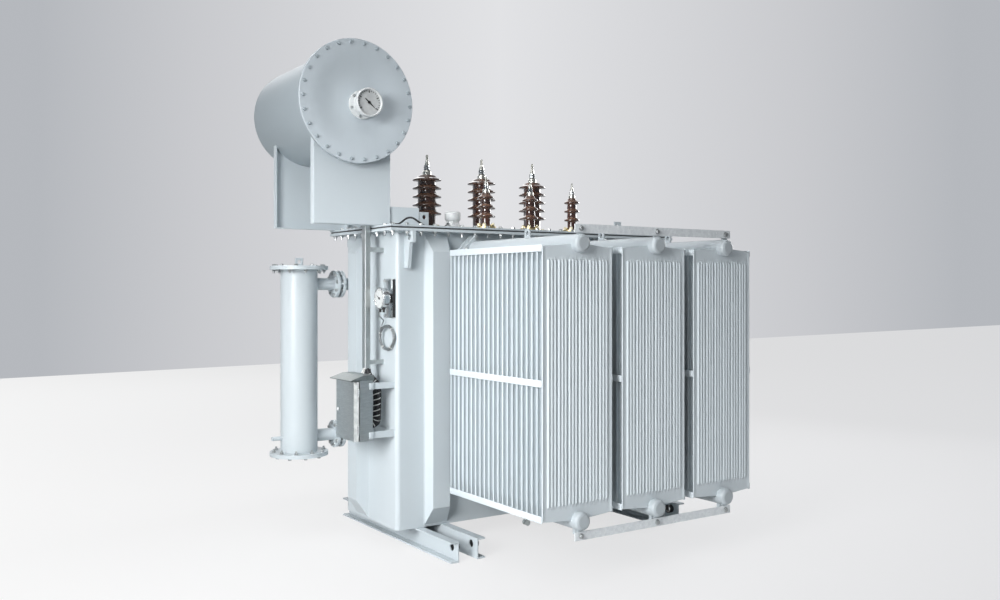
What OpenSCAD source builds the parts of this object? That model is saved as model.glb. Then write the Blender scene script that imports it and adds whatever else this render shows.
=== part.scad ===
// Oil-filled power transformer with panel radiators, a conservator and an oil filter vessel.
// X runs along the tank away from the conservator, Y runs across it, and Z is up from the ground.

/* [Base rails] */
// Height of a base channel
rail_h = 131; // [100:1:180]
// Flange width of a base channel
rail_b = 60; // [45:1:90]
// Web thickness of a base channel
rail_web = 8; // [5:1:12]
// Flange thickness of a base channel
rail_flange = 10; // [6:1:14]
// Length of the base channels
rail_l = 1580; // [1200:10:2000]
// Shift of the base channels along their length
rail_shift = -40; // [-80:1:0]
// Gap between the two webs of a pair
rail_gap = 135; // [100:1:200]
// Distance between the two channel pairs
rail_pitch = 1760; // [1200:10:2000]
// Diameter of an axle hole
axle_d = 50; // [30:1:70]
// Distance from the end of a channel to its axle hole
axle_in = 75; // [50:1:150]
// Height of an axle hole above the ground
axle_z = 84; // [70:1:90]

/* [Tank] */
// Length of the tank
tank_l = 2300; // [2100:10:2800]
// Width of the tank
tank_w = 760; // [700:10:900]
// Height from the tank floor to the top of its flange
tank_h = 1981; // [1900:1:2300]
// Thickness of the tank wall
wall_t = 10; // [6:1:16]
// Outer bend radius of the tank's upright corners
tank_r = 30; // [20:1:50]
// Thickness of the tank floor
floor_t = 16; // [10:1:30]
// Overhang of the tank flange and cover
flange_out = 90; // [60:1:120]
// Thickness of the tank flange
flange_t = 18; // [12:1:30]
// Thickness of the gasket under the cover
gasket_t = 10; // [4:1:14]
// Inset of the gasket from the edge of the flange
gasket_in = 8; // [4:1:20]
// Thickness of the cover
cover_t = 12; // [10:1:30]

/* [Tank stiffeners and hooks] */
// Width of a trough stiffener at the wall
trough_base = 177; // [120:1:220]
// Width of the outer face of a trough stiffener
trough_face = 131; // [80:1:150]
// Projection of a trough stiffener
trough_out = 80; // [50:1:85]
// Height of the sloped ends of a trough stiffener
trough_slope = 120; // [80:1:180]
// Distance from the tank end to the middle of the first trough stiffener
trough_in = 295; // [280:1:330]
// Offset of the trough stiffener on the end wall
trough_end_y = 120; // [115:1:150]
// Thickness of a lifting hook plate
hook_t = 25; // [15:1:40]
// Projection of a lifting hook plate
hook_out = 112; // [105:1:140]
// Height of a lifting hook plate
hook_h = 240; // [200:1:300]
// Distance from the tank end to a lifting hook plate
hook_in = 70; // [50:1:120]
// Diameter of the hole in a lifting hook plate
hook_hole = 40; // [25:1:50]

/* [Radiators] */
// Distance between neighbouring radiators
rad_pitch = 600; // [560:10:650]
// Distance between the top and the bottom header
rad_cc = 1615; // [1500:5:1650]
// Height of the bottom header above the ground
header_z = 368; // [340:1:400]
// Diameter of a header
header_d = 108; // [80:1:120]
// Projection of a header past the front fin
header_out = 58; // [50:1:80]
// Width of a fin
fin_w = 520; // [440:10:530]
// Number of fins in a radiator
fin_n = 21; // [11:1:24]
// Distance between neighbouring fins
fin_pitch = 50; // [42:1:55]
// Distance from the tank wall to the inner fin
fin_start = 203; // [180:1:240]
// Rise of the gabled ends of a fin
fin_gable = 21; // [15:1:45]
// Thickness of the welded seam around a fin
seam_t = 4; // [3:1:6]
// Width of the welded seam around a fin
seam_w = 30; // [20:1:40]
// Thickness of the oil space of a fin
core_t = 14; // [10:1:20]
// Distance from the shoulder of a fin to its oil channels
core_end = 75; // [60:1:100]
// Number of pressed oil channels on an end fin
flute_n = 6; // [5:1:12]
// Share of the channel pitch that a channel takes
flute_share = 0.86; // [0.5:0.01:0.9]
// Height of a side strap
strap_h = 40; // [30:1:70]
// Rise of an end strap past the shoulder of the fins
strap_over = 8; // [0:1:12]
// Thickness of a side strap
strap_t = 5; // [3:1:8]
// Distance from a tie bar to the header axis
tie_off = 86; // [85:1:110]
// Height of a tie bar
tie_h = 50; // [35:1:60]
// Thickness of a tie bar
tie_t = 6; // [4:1:10]
// Overhang of a tie bar past the outer headers
tie_over = 45; // [35:1:80]
// Width of a tie lug
lug_w = 44; // [30:1:60]
// Thickness of a tie lug and of a lifting eye
lug_t = 10; // [6:1:14]
// Size across the corners of the square pipe flanges at the radiator valves
valve_d = 190; // [170:1:210]
// Thickness of a pipe flange
pipe_flange_t = 18; // [12:1:24]
// Length of the pipe stub on the tank wall
stub_l = 30; // [20:1:40]
// Length of a valve body
valve_l = 40; // [30:1:50]

/* [Conservator] */
// Diameter of the conservator
cons_d = 700; // [620:10:760]
// Wall thickness of the conservator
cons_t = 6; // [4:1:10]
// Diameter of the conservator's bolted front flange
cons_flange_d = 800; // [780:10:900]
// Thickness of the front flange and of the front cover
cons_flange_t = 16; // [10:1:24]
// Length of the conservator
cons_l = 930; // [880:10:1000]
// Distance from the middle of the tank to the conservator's front face
cons_front = 330; // [310:5:360]
// Distance from the end of the tank to the conservator's axis
cons_off = 254; // [200:1:300]
// Height of the conservator's axis above the cover
cons_rise = 793; // [720:1:900]
// Depth of the dished rear end
cons_dish = 45; // [20:1:80]
// Depth of the dished front cover of the conservator
cons_pan = 20; // [10:1:30]
// Width of a leg under the conservator
leg_w = 544; // [480:2:580]
// Thickness of a leg plate
leg_t = 8; // [6:1:14]
// Width of the folded edges of a leg
leg_fold = 40; // [25:1:60]
// Distance of the front leg from the conservator's front face
leg_front = 85; // [75:1:120]
// Distance between the two legs
leg_pitch = 675; // [620:5:690]
// Height of the foot that runs on over the cover
foot_h = 130; // [90:1:150]
// Length of the foot past the leg
foot_l = 222; // [160:1:240]
// Diameter of the oil level gauge
gauge_d = 186; // [150:1:210]
// Projection of the oil level gauge
gauge_out = 105; // [80:1:120]
// Sideways offset of the oil level gauge
gauge_dx = 36; // [-60:1:60]
// Upward offset of the oil level gauge
gauge_dz = -20; // [-60:1:60]
// Diameter of the oil pipe to the tank
oil_pipe_d = 80; // [60:1:90]
// Bend radius of the oil pipe
oil_bend = 100; // [80:1:110]
// Height of the oil pipe's run above the cover
oil_run = 166; // [155:1:200]
// Offset of the oil pipe across the tank
oil_y = 60; // [20:1:80]
// Length of the gas relay
relay_l = 150; // [120:1:160]
// Width of the gas relay
relay_w = 130; // [110:1:160]
// Height of the gas relay
relay_h = 190; // [150:1:220]
// Distance from the tank end to where the oil pipe meets the cover
oil_in = 150; // [140:1:200]

/* [Oil filter] */
// Diameter of the filter vessel
filter_d = 250; // [200:1:280]
// Wall thickness of the filter vessel
filter_t = 6; // [4:1:10]
// Height of the filter vessel between its covers
filter_h = 1270; // [1200:10:1350]
// Distance from the top of the tank flange down to the filter vessel's lower end
filter_z = 1522; // [1490:1:1570]
// Diameter of the filter's end flanges
filter_flange_d = 395; // [360:1:410]
// Thickness of a filter flange and of a filter cover
filter_flange_t = 13; // [10:1:30]
// Distance from the tank end to the filter's axis
filter_off = 401; // [380:1:440]
// Offset of the filter across the tank
filter_y = 286; // [270:1:300]
// Diameter of the filter pipes
filter_pipe_d = 85; // [50:1:90]
// Distance from the end of the filter vessel to a filter pipe
filter_pipe_in = 110; // [95:1:140]
// Diameter of the valve flanges on the filter pipes
filter_valve_d = 190; // [160:1:200]

/* [Control box] */
// Width of the control box
box_w = 290; // [240:1:300]
// Depth of the control box behind its door
box_d = 92; // [80:1:130]
// Height of the control box
box_h = 391; // [340:1:410]
// Distance from the top of the tank flange down to the lower end of the control box
box_z = 1378; // [1362:1:1432]
// Distance from the tank end to the back of the control box
box_off = 160; // [145:1:170]
// Distance from the middle of the tank to the near side of the control box
box_y = 65; // [62:1:80]
// Sheet thickness of the control box
box_t = 4; // [3:1:6]
// Thickness of the door
door_t = 26; // [18:1:30]
// Gap between the door and the pieces that stay
door_gap = 5; // [5:0.5:8]
// Overhang of the rain roof past the door
roof_out = 42; // [30:1:60]
// Height of the rain roof at the back
roof_h = 34; // [24:1:50]
// Diameter of a hinge knuckle
knuckle_d = 14; // [12:1:18]
// Distance from the end of the control box to a hinge
hinge_in = 50; // [40:1:80]
// Height of a hinge knuckle
knuckle_h = 26; // [20:1:34]
// Diameter of a hinge pin
hinge_pin_d = 8; // [6:1:9]
// Running clearance around a hinge pin
pin_clear = 0.05; // [0.03:0.01:0.1]
// Height of a bracket arm
arm_h = 42; // [30:1:50]
// Thickness of a bracket arm
arm_t = 6; // [4:1:8]
// Distance from the lower end of the control box to the lower bracket
arm_low = 14; // [10:1:40]
// Distance from the top of the control box down to the foot of the upper bracket
arm_high = 59; // [45:1:110]

/* [Cables and instruments] */
// Width of the cable trunking
trunk_w = 45; // [40:1:64]
// Depth of the cable trunking
trunk_d = 38; // [30:1:50]
// Length of the cable trunking
trunk_l = 995; // [980:5:1060]
// Gap between the trunking and the edge of the cover
trunk_gap = 8; // [5:1:20]
// Rise of the trunking above the cover
trunk_rise = 46; // [40:1:60]
// Offset of the trunking across the tank
trunk_y = -174; // [-190:1:-160]
// Diameter of the cable bundle
bundle_d = 58; // [36:1:64]
// Distance from the top of the tank flange down to the middle of the thermometer
thermo_z = 458; // [432:1:512]
// Distance from the tank's side to the middle of the thermometer
thermo_in = 95; // [70:1:110]
// Diameter of the thermometer dial
thermo_d = 146; // [110:1:160]
// Width of the thermometer plate
thermo_plate_w = 150; // [100:1:160]
// Height of the thermometer plate
thermo_plate_h = 260; // [190:1:270]
// Diameter of the capillary coil
coil_d = 165; // [140:1:170]
// Thickness of the capillary coil
coil_t = 18; // [12:1:24]
// Distance from the top of the tank flange down to the middle of the capillary coil
coil_z = 718; // [700:1:762]

/* [Bushings] */
// Distance between neighbouring high voltage bushings
hv_pitch = 473; // [440:1:500]
// Offset of the high voltage bushings across the tank
hv_y = 132; // [125:1:150]
// Diameter of the high voltage sheds
hv_shed_d = 211; // [190:1:230]
// Diameter of the high voltage porcelain body
hv_body_d = 131; // [110:1:140]
// Distance between neighbouring high voltage sheds
hv_shed_pitch = 61.5; // [58:0.5:66]
// Height of the lowest high voltage shed above the cover
hv_shed_z = 131; // [120:1:140]
// Number of high voltage sheds
hv_shed_n = 5; // [3:1:7]
// Distance between neighbouring low voltage bushings
lv_pitch = 386; // [350:1:420]
// Offset of the low voltage bushings across the tank
lv_y = -280; // [-290:1:-240]
// Diameter of the low voltage sheds
lv_shed_d = 115; // [100:1:130]
// Diameter of the low voltage porcelain body
lv_body_d = 65; // [50:1:75]
// Distance between neighbouring low voltage sheds
lv_shed_pitch = 65; // [60:0.5:70]
// Height of the lowest low voltage shed above the cover
lv_shed_z = 100; // [90:1:110]
// Number of low voltage sheds
lv_shed_n = 3; // [2:1:4]
// Height of a clamp ring at the foot of a bushing
clamp_h = 26; // [18:1:34]
// Width of a clamp ring
clamp_w = 30; // [24:1:32]
// Offset of the high voltage row along the tank
hv_x = -156; // [-200:1:-100]
// Diameter of the pressure relief valve
relief_d = 115; // [90:1:120]
// Height of the pressure relief valve
relief_h = 143; // [90:1:160]
// Distance of the pressure relief valve from the middle of the tank
relief_x = 490; // [460:1:540]
// Height of a high voltage terminal cap
hv_cap_h = 55; // [40:1:70]
// Diameter of a high voltage terminal stud
hv_stud_d = 24; // [16:1:30]
// Length of a high voltage terminal stud
hv_stud_l = 95; // [70:1:110]
// Height of a low voltage terminal cap
lv_cap_h = 50; // [40:1:60]
// Diameter of a low voltage terminal stud
lv_stud_d = 20; // [14:1:26]
// Length of a low voltage terminal stud
lv_stud_l = 62; // [50:1:80]
// Width of a lifting lug on the cover
cover_lug_w = 68; // [50:1:80]
// Height of a lifting lug on the cover
cover_lug_h = 105; // [90:1:120]
// Gap between a leg's foot and the lifting lug beside it
cover_lug_gap = 8; // [4:1:30]
// Diameter of the hole in a lifting lug on the cover
cover_lug_hole = 30; // [20:1:40]

/* [Fits] */
// Gap at a seat between curved pieces
seat_gap = 0.3; // [0.2:0.05:0.6]

/* [Hidden] */
$fn = 48;

// Paint and bare metal colours
paint = [0.80, 0.83, 0.86];
zinc = [0.70, 0.74, 0.76];
steel = [0.55, 0.58, 0.59];
glaze = [0.24, 0.13, 0.11];
passivated = [0.68, 0.60, 0.36];
dark = [0.12, 0.12, 0.13];
white = [0.92, 0.92, 0.90];

// Levels and half sizes of the tank
tank_x = tank_l / 2;
tank_y = tank_w / 2;
flange_z = rail_h + tank_h;
cover_z = flange_z + gasket_t + cover_t;
cover_x = tank_x + flange_out;
cover_y = tank_y + flange_out;

// Places of the radiators
fin_s = rad_cc / 2 - fin_gable;
strap_z = fin_s - strap_h / 2 + strap_over;
stack_l = (fin_n - 1) * fin_pitch;
fin_y0 = tank_y + fin_start;
fin_y1 = fin_y0 + stack_l;
rad_z = header_z + rad_cc / 2;
header_y = tank_y + stub_l + pipe_flange_t + valve_l;
header_l = fin_y1 + header_out - header_y;
lug_y = fin_y1 + core_t;
front_rads = [-rad_pitch, 0, rad_pitch];
rear_rads = [-rad_pitch / 2, rad_pitch / 2];

// Places of the conservator and of its oil pipe
cons_x = -tank_x - cons_off;
cons_z = cover_z + cons_rise;
cons_y = -cons_front;
leg_y = cons_y + leg_front;
oil_x0 = cons_x + oil_bend;
oil_x1 = -tank_x + oil_in - oil_bend;
oil_z = cover_z + oil_run;
relay_x = (oil_x0 + oil_x1) / 2;
cover_lug_x = cons_x + leg_w / 2 + foot_l + cover_lug_gap + cover_lug_w / 2;

// Places of the filter and of the control box
filter_x = -tank_x - filter_off;
filter_low = flange_z - filter_z;
filter_top = filter_low + filter_h;
filter_pipe_z = [filter_low + filter_pipe_in, filter_top - filter_pipe_in];
box_x = -tank_x - box_off;
box_front = box_x - box_d;
door_in = box_front - door_gap;
box_low = flange_z - box_z;
box_top = box_low + box_h;
box_y0 = -box_y - box_w;
hinge_x = door_in - knuckle_d / 2;
door_inset = 2;
hinge_y = box_y0 - knuckle_d / 2 - door_inset;
hinge_z = [box_low + hinge_in, box_top - hinge_in - 2 * knuckle_h];
trunk_x = -cover_x - trunk_gap - trunk_d / 2;
trunk_z = cover_z + trunk_rise - trunk_l;

// Middle of the whole object along X, which becomes the origin
mid_x = (cons_x - cons_flange_d / 2 + cover_x) / 2;

module placed() translate([-mid_x, 0, 0]) children();
module rod_x(d, l) rotate([0, 90, 0]) cylinder(d = d, h = l);
module rod_y(d, l) rotate([-90, 0, 0]) cylinder(d = d, h = l);
module sheet_xz(t) rotate([90, 0, 0]) linear_extrude(t, center = true) children();
module sheet_yz(t) rotate([90, 0, 90]) linear_extrude(t, center = true) children();
module far_side(side) mirror([0, side > 0 ? 1 : 0, 0]) children();

// Base rails: rolled channels with an axle hole near each end of the web
module channel(x, side) {
    translate([x, rail_shift, 0]) mirror([side < 0 ? 1 : 0, 0, 0]) difference() {
        sheet_xz(rail_l) polygon([
            [0, 0], [rail_b, 0], [rail_b, rail_flange], [rail_web, rail_flange],
            [rail_web, rail_h - rail_flange], [rail_b, rail_h - rail_flange], [rail_b, rail_h], [0, rail_h]
        ]);
        for (s = [-1, 1])
            translate([-1, s * (rail_l / 2 - axle_in), axle_z]) rod_x(axle_d, rail_web + 2);
    }
}
module left_outer_rail() color(paint) placed() channel(-(rail_pitch + rail_gap) / 2, -1);
module left_inner_rail() color(paint) placed() channel(-(rail_pitch - rail_gap) / 2, 1);
module right_inner_rail() color(paint) placed() channel((rail_pitch - rail_gap) / 2, -1);
module right_outer_rail() color(paint) placed() channel((rail_pitch + rail_gap) / 2, 1);

// Tank: an open box with a flange all round, closed by a gasket and a flat cover
module slab(hx, hy, z, t) translate([-hx, -hy, z]) cube([2 * hx, 2 * hy, t]);
module bent_box(hx, hy, r, z, t) {
    slab(hx - r, hy, z, t);
    slab(hx, hy - r, z, t);
    for (sx = [-1, 1], sy = [-1, 1]) translate([sx * (hx - r), sy * (hy - r), z]) cylinder(r = r, h = t);
}
module tank_body() {
    color(paint) placed() difference() {
        union() {
            bent_box(tank_x, tank_y, tank_r, rail_h, tank_h);
            slab(cover_x, cover_y, flange_z - flange_t, flange_t);
        }
        bent_box(tank_x - wall_t, tank_y - wall_t, tank_r - wall_t, rail_h + floor_t, tank_h);
    }
}
module cover_gasket() {
    color(dark) placed() difference() {
        slab(cover_x - gasket_in, cover_y - gasket_in, flange_z, gasket_t);
        slab(tank_x, tank_y, flange_z - 1, gasket_t + 2);
    }
}
module tank_cover() color(paint) placed() slab(cover_x, cover_y, cover_z - cover_t, cover_t);

// Lifting lugs near the four corners of the cover
module cover_lugs() {
    color(paint) placed() for (sx = [-1, 1], sy = [-1, 1])
        translate([sx * cover_lug_x, sy * leg_y, cover_z]) difference() {
            translate([-cover_lug_w / 2, -lug_t / 2, 0]) cube([cover_lug_w, lug_t, cover_lug_h]);
            translate([0, -lug_t, cover_lug_h - cover_lug_w / 2]) rod_y(cover_lug_hole, 2 * lug_t);
        }
}

// Trough stiffeners: folded plates with sloped closures at both ends
trough_gap = 12;
trough_h = tank_h - flange_t - 2 * trough_gap;
module trough() {
    translate([0, 0, rail_h + trough_gap]) intersection() {
        linear_extrude(trough_h) polygon([
            [-trough_base / 2, 0], [-trough_face / 2, -trough_out],
            [trough_face / 2, -trough_out], [trough_base / 2, 0]
        ]);
        sheet_yz(trough_base) polygon([
            [0, 0], [-trough_out, trough_slope], [-trough_out, trough_h - trough_slope], [0, trough_h]
        ]);
    }
}
module side_troughs(side) {
    far_side(side) for (s = [-1, 1]) translate([s * (tank_x - trough_in), -tank_y, 0]) trough();
}
module front_stiffeners() color(paint) placed() side_troughs(-1);
module rear_stiffeners() color(paint) placed() side_troughs(1);
module end_stiffeners() {
    color(paint) placed() for (s = [-1, 1])
        translate([s * tank_x, trough_end_y, 0]) rotate([0, 0, 90 * s]) trough();
}

// Lifting hooks: plates that hang from the flange on the long walls
hook_nose = 74;
module lifting_hooks() {
    color(paint) placed() for (sx = [-1, 1], side = [-1, 1])
        far_side(side) translate([sx * (tank_x - hook_in), -tank_y, flange_z - flange_t]) difference() {
            sheet_yz(hook_t) polygon([
                [0, 0], [-hook_out, 0], [-hook_out, -hook_nose], [-hook_out * 0.62, -hook_nose],
                [-hook_out * 0.4, -hook_h], [0, -hook_h]
            ]);
            translate([-hook_t, -hook_out * 0.6, -hook_nose * 0.55]) rod_x(hook_hole, 2 * hook_t);
        }
}

// Radiator fins: gabled panels with a thin welded seam around a thicker oil space.
// The first and the last panel show their pressed channels.
flute_pitch = (fin_w - 2 * seam_w) / flute_n;
flute_w = flute_pitch * flute_share;
core_h = 2 * (fin_s - core_end);
module fin_seam() {
    sheet_xz(seam_t) polygon([
        [-fin_w / 2, -fin_s], [0, -rad_cc / 2], [fin_w / 2, -fin_s],
        [fin_w / 2, fin_s], [0, rad_cc / 2], [-fin_w / 2, fin_s]
    ]);
}
module flute() {
    bevel = core_t / 2;
    linear_extrude(core_h, center = true) polygon([
        [-flute_w / 2, 0], [-flute_w / 2 + bevel, -core_t / 2], [flute_w / 2 - bevel, -core_t / 2],
        [flute_w / 2, 0], [flute_w / 2 - bevel, core_t / 2], [-flute_w / 2 + bevel, core_t / 2]
    ]);
}
module fin(fluted) {
    fin_seam();
    if (fluted)
        for (i = [0:flute_n - 1]) translate([(i - (flute_n - 1) / 2) * flute_pitch, 0, 0]) flute();
    else
        cube([fin_w - 2 * seam_w, core_t, core_h], center = true);
}
module strap(side, z) {
    translate([side * (fin_w + strap_t) / 2, -(fin_y0 + fin_y1) / 2, z])
        cube([strap_t, stack_l + seam_t, strap_h], center = true);
}
module radiator_fins(x, side) {
    translate([x, 0, rad_z]) far_side(side) difference() {
        union() {
            for (i = [0:fin_n - 1])
                translate([0, -fin_y0 - i * fin_pitch, 0]) fin(i == 0 || i == fin_n - 1);
            for (s = [-1, 1], z = [-strap_z, 0, strap_z]) strap(s, z);
        }
        for (s = [-1, 1])
            translate([0, -fin_y1 - core_t, s * rad_cc / 2])
                rod_y(header_d + 2 * seat_gap, stack_l + 2 * core_t);
    }
}

// Radiator headers: flanged pipes with domed ends, tie lugs, a lifting eye and a drain plug
cap_round = 18;
eye_d = 56;
eye_hole = 28;
drain_d = 30;
flange_side = valve_d * 0.76;
module square_flange() {
    intersection() {
        rotate([0, 45, 0]) translate([-flange_side / 2, 0, -flange_side / 2])
            cube([flange_side, pipe_flange_t, flange_side]);
        rod_y(valve_d, pipe_flange_t);
    }
}
module header_pipe() {
    translate([0, -header_y - pipe_flange_t, 0]) square_flange();
    translate([0, -header_y, 0]) rotate([90, 0, 0]) rotate_extrude() polygon([
        [0, 0], [header_d / 2, 0],
        [header_d / 2, header_l - cap_round], [header_d / 2 - cap_round / 3, header_l - cap_round / 3],
        [header_d / 2 - cap_round, header_l], [0, header_l]
    ]);
}
module tie_lug(s) {
    translate([-lug_w / 2, -lug_y - lug_t, s > 0 ? 0 : -tie_off - tie_h / 2])
        cube([lug_w, lug_t, tie_off + tie_h / 2]);
}
module lifting_eye() {
    translate([-lug_t / 2, -(fin_y0 + fin_y1) / 2, 0]) difference() {
        union() {
            translate([0, -eye_d / 2, 0]) cube([lug_t, eye_d, header_d / 2 + eye_d / 2]);
            translate([0, 0, (header_d + eye_d) / 2]) rod_x(eye_d, lug_t);
        }
        translate([-1, 0, (header_d + eye_d) / 2]) rod_x(eye_hole, lug_t + 2);
    }
}
module drain_plug() {
    translate([0, -fin_y1 + fin_pitch / 2, -header_d / 2 - drain_d]) cylinder(d = drain_d, h = drain_d * 1.5);
}
module radiator_headers(x, side) {
    far_side(side) {
        translate([x, 0, header_z + rad_cc]) {
            header_pipe();
            tie_lug(1);
            lifting_eye();
        }
        translate([x, 0, header_z]) {
            header_pipe();
            tie_lug(-1);
            drain_plug();
        }
    }
}
module front_left_fins() color(paint) placed() radiator_fins(front_rads[0], -1);
module front_middle_fins() color(paint) placed() radiator_fins(front_rads[1], -1);
module front_right_fins() color(paint) placed() radiator_fins(front_rads[2], -1);
module rear_left_fins() color(paint) placed() radiator_fins(rear_rads[0], 1);
module rear_right_fins() color(paint) placed() radiator_fins(rear_rads[1], 1);
module front_left_headers() color(paint) placed() radiator_headers(front_rads[0], -1);
module front_middle_headers() color(paint) placed() radiator_headers(front_rads[1], -1);
module front_right_headers() color(paint) placed() radiator_headers(front_rads[2], -1);
module rear_left_headers() color(paint) placed() radiator_headers(rear_rads[0], 1);
module rear_right_headers() color(paint) placed() radiator_headers(rear_rads[1], 1);

// Radiator valves: a pipe stub on the tank wall, its flange, the valve body and its spindle
spindle_d = 16;
spindle_l = 25;
module radiator_valve() {
    translate([0, -tank_y - stub_l, 0]) rod_y(header_d, stub_l);
    translate([0, -tank_y - stub_l - pipe_flange_t, 0]) square_flange();
    translate([0, -header_y, 0]) rod_y(header_d * 1.1, valve_l);
    translate([0, -header_y + valve_l / 2, 0]) rod_x(spindle_d, valve_d / 2 + spindle_l);
}
module valve_row(rads, side) {
    far_side(side) for (x = rads, z = [header_z, header_z + rad_cc]) translate([x, 0, z]) radiator_valve();
}
module front_valves() color(paint) placed() valve_row(front_rads, -1);
module rear_valves() color(paint) placed() valve_row(rear_rads, 1);

// Tie bars: flat bars that join the radiators at the ends of their headers
module tie_bar(rads, side, z) {
    x0 = rads[0] - tie_over;
    x1 = rads[len(rads) - 1] + tie_over;
    far_side(side) translate([x0, -lug_y - lug_t - tie_t, z - tie_h / 2]) cube([x1 - x0, tie_t, tie_h]);
}
tie_top = header_z + rad_cc + tie_off;
tie_bottom = header_z - tie_off;
module front_top_tie_bar() color(zinc) placed() tie_bar(front_rads, -1, tie_top);
module front_bottom_tie_bar() color(zinc) placed() tie_bar(front_rads, -1, tie_bottom);
module rear_top_tie_bar() color(zinc) placed() tie_bar(rear_rads, 1, tie_top);
module rear_bottom_tie_bar() color(zinc) placed() tie_bar(rear_rads, 1, tie_bottom);

// Conservator: a flanged tube with a bolted front cover and a dished rear end
module conservator_shell() {
    color(paint) placed() translate([cons_x, cons_y + cons_flange_t, cons_z]) difference() {
        union() {
            rod_y(cons_d, cons_l - cons_flange_t);
            rod_y(cons_flange_d, cons_flange_t);
        }
        translate([0, -1, 0]) rod_y(cons_d - 2 * cons_t, cons_l + 2);
    }
}
dish_steps = 8;
pan_seat = cons_d * 0.2;
pan_rim = cons_d * 0.44;
module conservator_front_cover() {
    r = cons_flange_d / 2;
    face = [
        for (i = [0:dish_steps]) let (part = i / dish_steps)
            [pan_seat + (pan_rim - pan_seat) * part, -cons_pan * (1 - part * part)]
    ];
    back = [for (i = [dish_steps:-1:0]) face[i] - [0, cons_flange_t]];
    rim = [[r, 0], [r, -cons_flange_t]];
    outline = concat([[0, -cons_pan]], face, rim, back, [[0, -cons_pan - cons_flange_t]]);
    color(paint) placed() translate([cons_x, cons_y, cons_z])
        rotate([90, 0, 0]) rotate_extrude() polygon(outline);
}
module conservator_rear_end() {
    arc = [
        for (i = [dish_steps:-1:0]) let (part = i / dish_steps)
            [cons_d / 2 * part, cons_t + cons_dish * (1 - part * part)]
    ];
    color(paint) placed() translate([cons_x, cons_y + cons_l, cons_z])
        rotate([-90, 0, 0]) rotate_extrude() polygon(concat([[0, 0], [cons_d / 2, 0]], arc));
}

// Conservator legs: folded plates cut to the tube, each with a foot that runs on over the cover
module leg(y, fold) {
    difference() {
        translate([cons_x, y, cover_z]) {
            sheet_xz(leg_t) polygon([
                [-leg_w / 2, 0], [leg_w / 2 + foot_l, 0], [leg_w / 2 + foot_l, foot_h],
                [leg_w / 2, foot_h], [leg_w / 2, cons_rise], [-leg_w / 2, cons_rise]
            ]);
            mirror([0, fold > 0 ? 0 : 1, 0]) {
                translate([-leg_w / 2, 0, 0]) cube([leg_t, leg_fold, cons_rise]);
                translate([leg_w / 2 - leg_t, 0, 0]) cube([leg_t, leg_fold, cons_rise]);
                translate([-leg_w / 2, 0, 0]) cube([leg_w + foot_l, leg_fold, leg_t]);
            }
        }
        translate([cons_x, cons_y, cons_z]) rod_y(cons_d + 2 * seat_gap, cons_l);
    }
}
module conservator_front_leg() color(paint) placed() leg(leg_y, 1);
module conservator_rear_leg() color(paint) placed() leg(leg_y + leg_pitch, -1);

// Oil level gauge: a stepped round case on the front cover
gauge_base_t = 12;
gauge_neck = 0.62;
module oil_level_gauge() {
    base_top = gauge_base_t - cons_pan;
    color(white) placed() translate([cons_x + gauge_dx, cons_y, cons_z + gauge_dz])
        rotate([90, 0, 0]) rotate_extrude() polygon([
            [0, -cons_pan], [gauge_d / 2, -cons_pan], [gauge_d / 2, base_top],
            [gauge_d / 2 * gauge_neck, base_top], [gauge_d / 2 * gauge_neck, gauge_out / 2],
            [gauge_d * 0.46, gauge_out * 0.6], [gauge_d / 2, gauge_out * 0.7],
            [gauge_d / 2, gauge_out * 0.95], [gauge_d * 0.48, gauge_out], [0, gauge_out]
        ]);
}

// Oil pipe from the conservator through the gas relay to the cover, in two bent lengths
oil_flange_d = 140;
oil_flange_t = 14;
module elbow(x, z, turn) {
    translate([x, oil_y, z]) rotate([90, turn, 0])
        rotate_extrude(angle = 90) translate([oil_bend, 0]) circle(d = oil_pipe_d);
}
module oil_pipe() {
    relay_x0 = relay_x - relay_l / 2;
    relay_x1 = relay_x + relay_l / 2;
    color(paint) placed() {
        difference() {
            union() {
                translate([cons_x, oil_y, oil_z + oil_bend])
                    cylinder(d = oil_pipe_d, h = cons_rise - oil_run - oil_bend);
                elbow(oil_x0, oil_z + oil_bend, 180);
                translate([oil_x0, oil_y, oil_z]) rod_x(oil_pipe_d, relay_x0 - oil_x0);
                translate([relay_x0 - oil_flange_t, oil_y, oil_z]) rod_x(oil_flange_d, oil_flange_t);
            }
            translate([cons_x, cons_y, cons_z]) rod_y(cons_d + 2 * seat_gap, cons_l);
        }
        translate([relay_x1, oil_y, oil_z]) rod_x(oil_pipe_d, oil_x1 - relay_x1);
        translate([relay_x1, oil_y, oil_z]) rod_x(oil_flange_d, oil_flange_t);
        elbow(oil_x1, oil_z - oil_bend, 0);
        translate([oil_x1 + oil_bend, oil_y, cover_z]) cylinder(d = oil_pipe_d, h = oil_run - oil_bend);
        translate([oil_x1 + oil_bend, oil_y, cover_z]) cylinder(d = oil_flange_d, h = oil_flange_t);
    }
}
module gas_relay() {
    color(zinc) placed() translate([relay_x, oil_y, oil_z]) {
        cube([relay_l, relay_w, relay_h], center = true);
        cylinder(d = relay_w / 2, h = relay_h / 2 + relay_w / 4);
    }
}

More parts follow.
